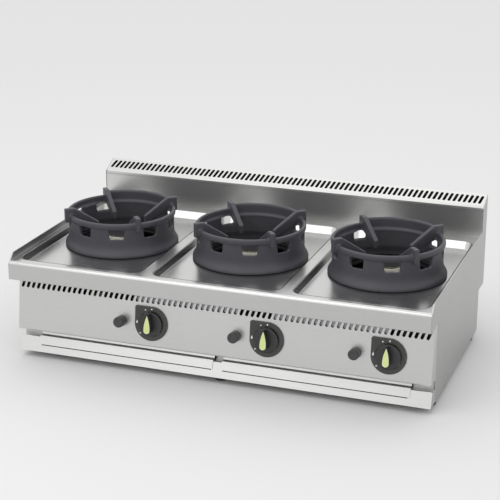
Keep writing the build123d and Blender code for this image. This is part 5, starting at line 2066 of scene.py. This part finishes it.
@dataclass
class Studio:
    """Camera, soft light, pale floor and pale room, placed in the frame's metres."""

    camera_place: Point = (1.3126, -3.6791, 1.6268)
    tilt_deg: float = 71.1
    turn_deg: float = 19.8
    lens_mm: float = 103.87
    floor_half: float = 45.0
    floor_colour: str = "d5d5d5"
    room_strength: float = 1.16
    # Height of the view direction, from straight down to straight up, and the room's grey there.
    room_greys: tuple[tuple[float, float], ...] = (
        (0.0, 0.6),
        (0.5, 0.66),
        (0.56, 0.86),
        (0.66, 1.0),
        (1.0, 1.0),
    )
    # A large soft lamp high at the front left, a weaker one above the back, a low one in front.
    lamps: tuple[Lamp, ...] = (
        Lamp("key_lamp", (-0.9, -1.8, 3.2), 2.2, 19.0, (0, 0, 0.3)),
        Lamp("top_lamp", (-0.3, 1.3, 3.4), 2.4, 6.0, (0, 0, 0.3)),
        Lamp("front_lamp", (-1.1, -3.3, 1.25), 1.8, 5.5, (0, 0, 0.1)),
    )

    def build(self) -> None:
        """Make the camera, the world, the lamps and the floor."""
        self.camera()
        self.world()
        for lamp in self.lamps:
            lamp.build()
        self.floor()

    def camera(self) -> None:
        """Place the camera where the photograph's was."""
        data = bpy.data.cameras.new("camera")
        data.lens = self.lens_mm
        data.sensor_width = 36.0
        data.clip_end = 100.0
        item = bpy.data.objects.new("camera", data)
        item.location = self.camera_place
        item.rotation_euler = (math.radians(self.tilt_deg), 0, math.radians(self.turn_deg))
        bpy.context.scene.collection.objects.link(item)
        bpy.context.scene.camera = item

    def world(self) -> None:
        """Build a pale room: a little darker at the horizon than above it."""
        world = bpy.data.worlds.new("studio")
        world.use_nodes = True
        bpy.context.scene.world = world
        tree = world.node_tree
        tree.nodes.clear()
        direction = add_node(tree, "ShaderNodeTexCoord").outputs["Generated"]
        height = add_node(tree, "ShaderNodeSeparateXYZ", {0: direction}).outputs[2]
        level = add_node(tree, "ShaderNodeMapRange", {0: height, 1: -1.0})
        glow = add_node(tree, "ShaderNodeValToRGB", {0: level})
        stops = glow.color_ramp.elements
        for place, grey in self.room_greys:
            stop = stops[0] if place == 0.0 else stops[-1] if place == 1.0 else stops.new(place)
            stop.position = place
            stop.color = (grey, grey, grey, 1.0)
        room = add_node(tree, "ShaderNodeBackground", {"Color": glow, "Strength": self.room_strength})
        add_node(tree, "ShaderNodeOutputWorld", {"Surface": room})

    def floor(self) -> None:
        """Lay a pale painted floor, which keeps the object's shadow."""
        bm = bmesh.new()
        bmesh.ops.create_grid(bm, x_segments=1, y_segments=1, size=self.floor_half)
        item = loose_object("floor", bm)
        material, tree, _ = new_material("pale_floor_paint")
        paint = add_node(tree, "ShaderNodeBsdfDiffuse", {"Color": linear(self.floor_colour)})
        add_node(tree, "ShaderNodeOutputMaterial", {"Surface": paint})
        item.data.materials.append(material)


def dress_frame(finishes: Finishes) -> None:
    """Give every carried-over CAD node its finish by its record slot.

    Args:
        finishes: the finishes to choose from.
    """
    by_slot = {
        "steel_top": finishes.deck,
        "steel_casing": finishes.side,
        "steel_front": finishes.front,
        "steel_tray": finishes.tray,
        "galvanised_steel": finishes.galvanised,
        "zinc_pipe": finishes.zinc,
        "brass_fittings": finishes.brass,
        "pilot_metal": finishes.pilot,
        "dial_black": finishes.dial,
        "igniter_black": finishes.dial,
        "burner_iron": finishes.head,
        "burner_cap_steel": finishes.cap,
        "spindle_steel": finishes.steel_bar,
        "knob_black": finishes.knob,
        "pointer_green": finishes.pointer,
        "button_black": finishes.button,
        "ring_iron": finishes.iron,
        "foot_black": finishes.foot,
    }
    by_node = {
        "splashback": finishes.splash,
        "flue_back": finishes.flue_rear,
        "front_crossmember": finishes.front,
    }
    for part in frame["record"]["subparts"]:
        item = frame["nodes"][part["node"]]
        finish = by_node.get(part["node"], by_slot[part["material_slot"]])
        item.data.materials.clear()
        item.data.materials.append(finish)


def main() -> None:
    """Build the whole range and its studio."""
    finishes = Finishes()
    dress_frame(finishes)
    HobTop(finishes).build()
    FlueBox(finishes).build()
    FrontPanels(finishes).build()
    for side, sense in SIDES:
        DripTray(finishes, side, sense).build()
    for number, (well_x, knob_x) in enumerate(zip(WELL_XS, KNOB_XS), start=1):
        Control(finishes, number, knob_x).build()
        Burner(finishes, number, well_x).build()
    for number, place in enumerate(FOOT_PLACES, start=1):
        Foot(finishes, number, place).build()
    RearDetails(finishes).build()
    rings = [WokRing(finishes, number, x) for number, x in enumerate(WELL_XS, start=1)]
    casting = rings[0].casting()
    for ring in rings:
        ring.build(casting)
    Studio().build()
    bpy.context.scene.view_settings.view_transform = "Standard"


if __name__ == "__main__":
    main()
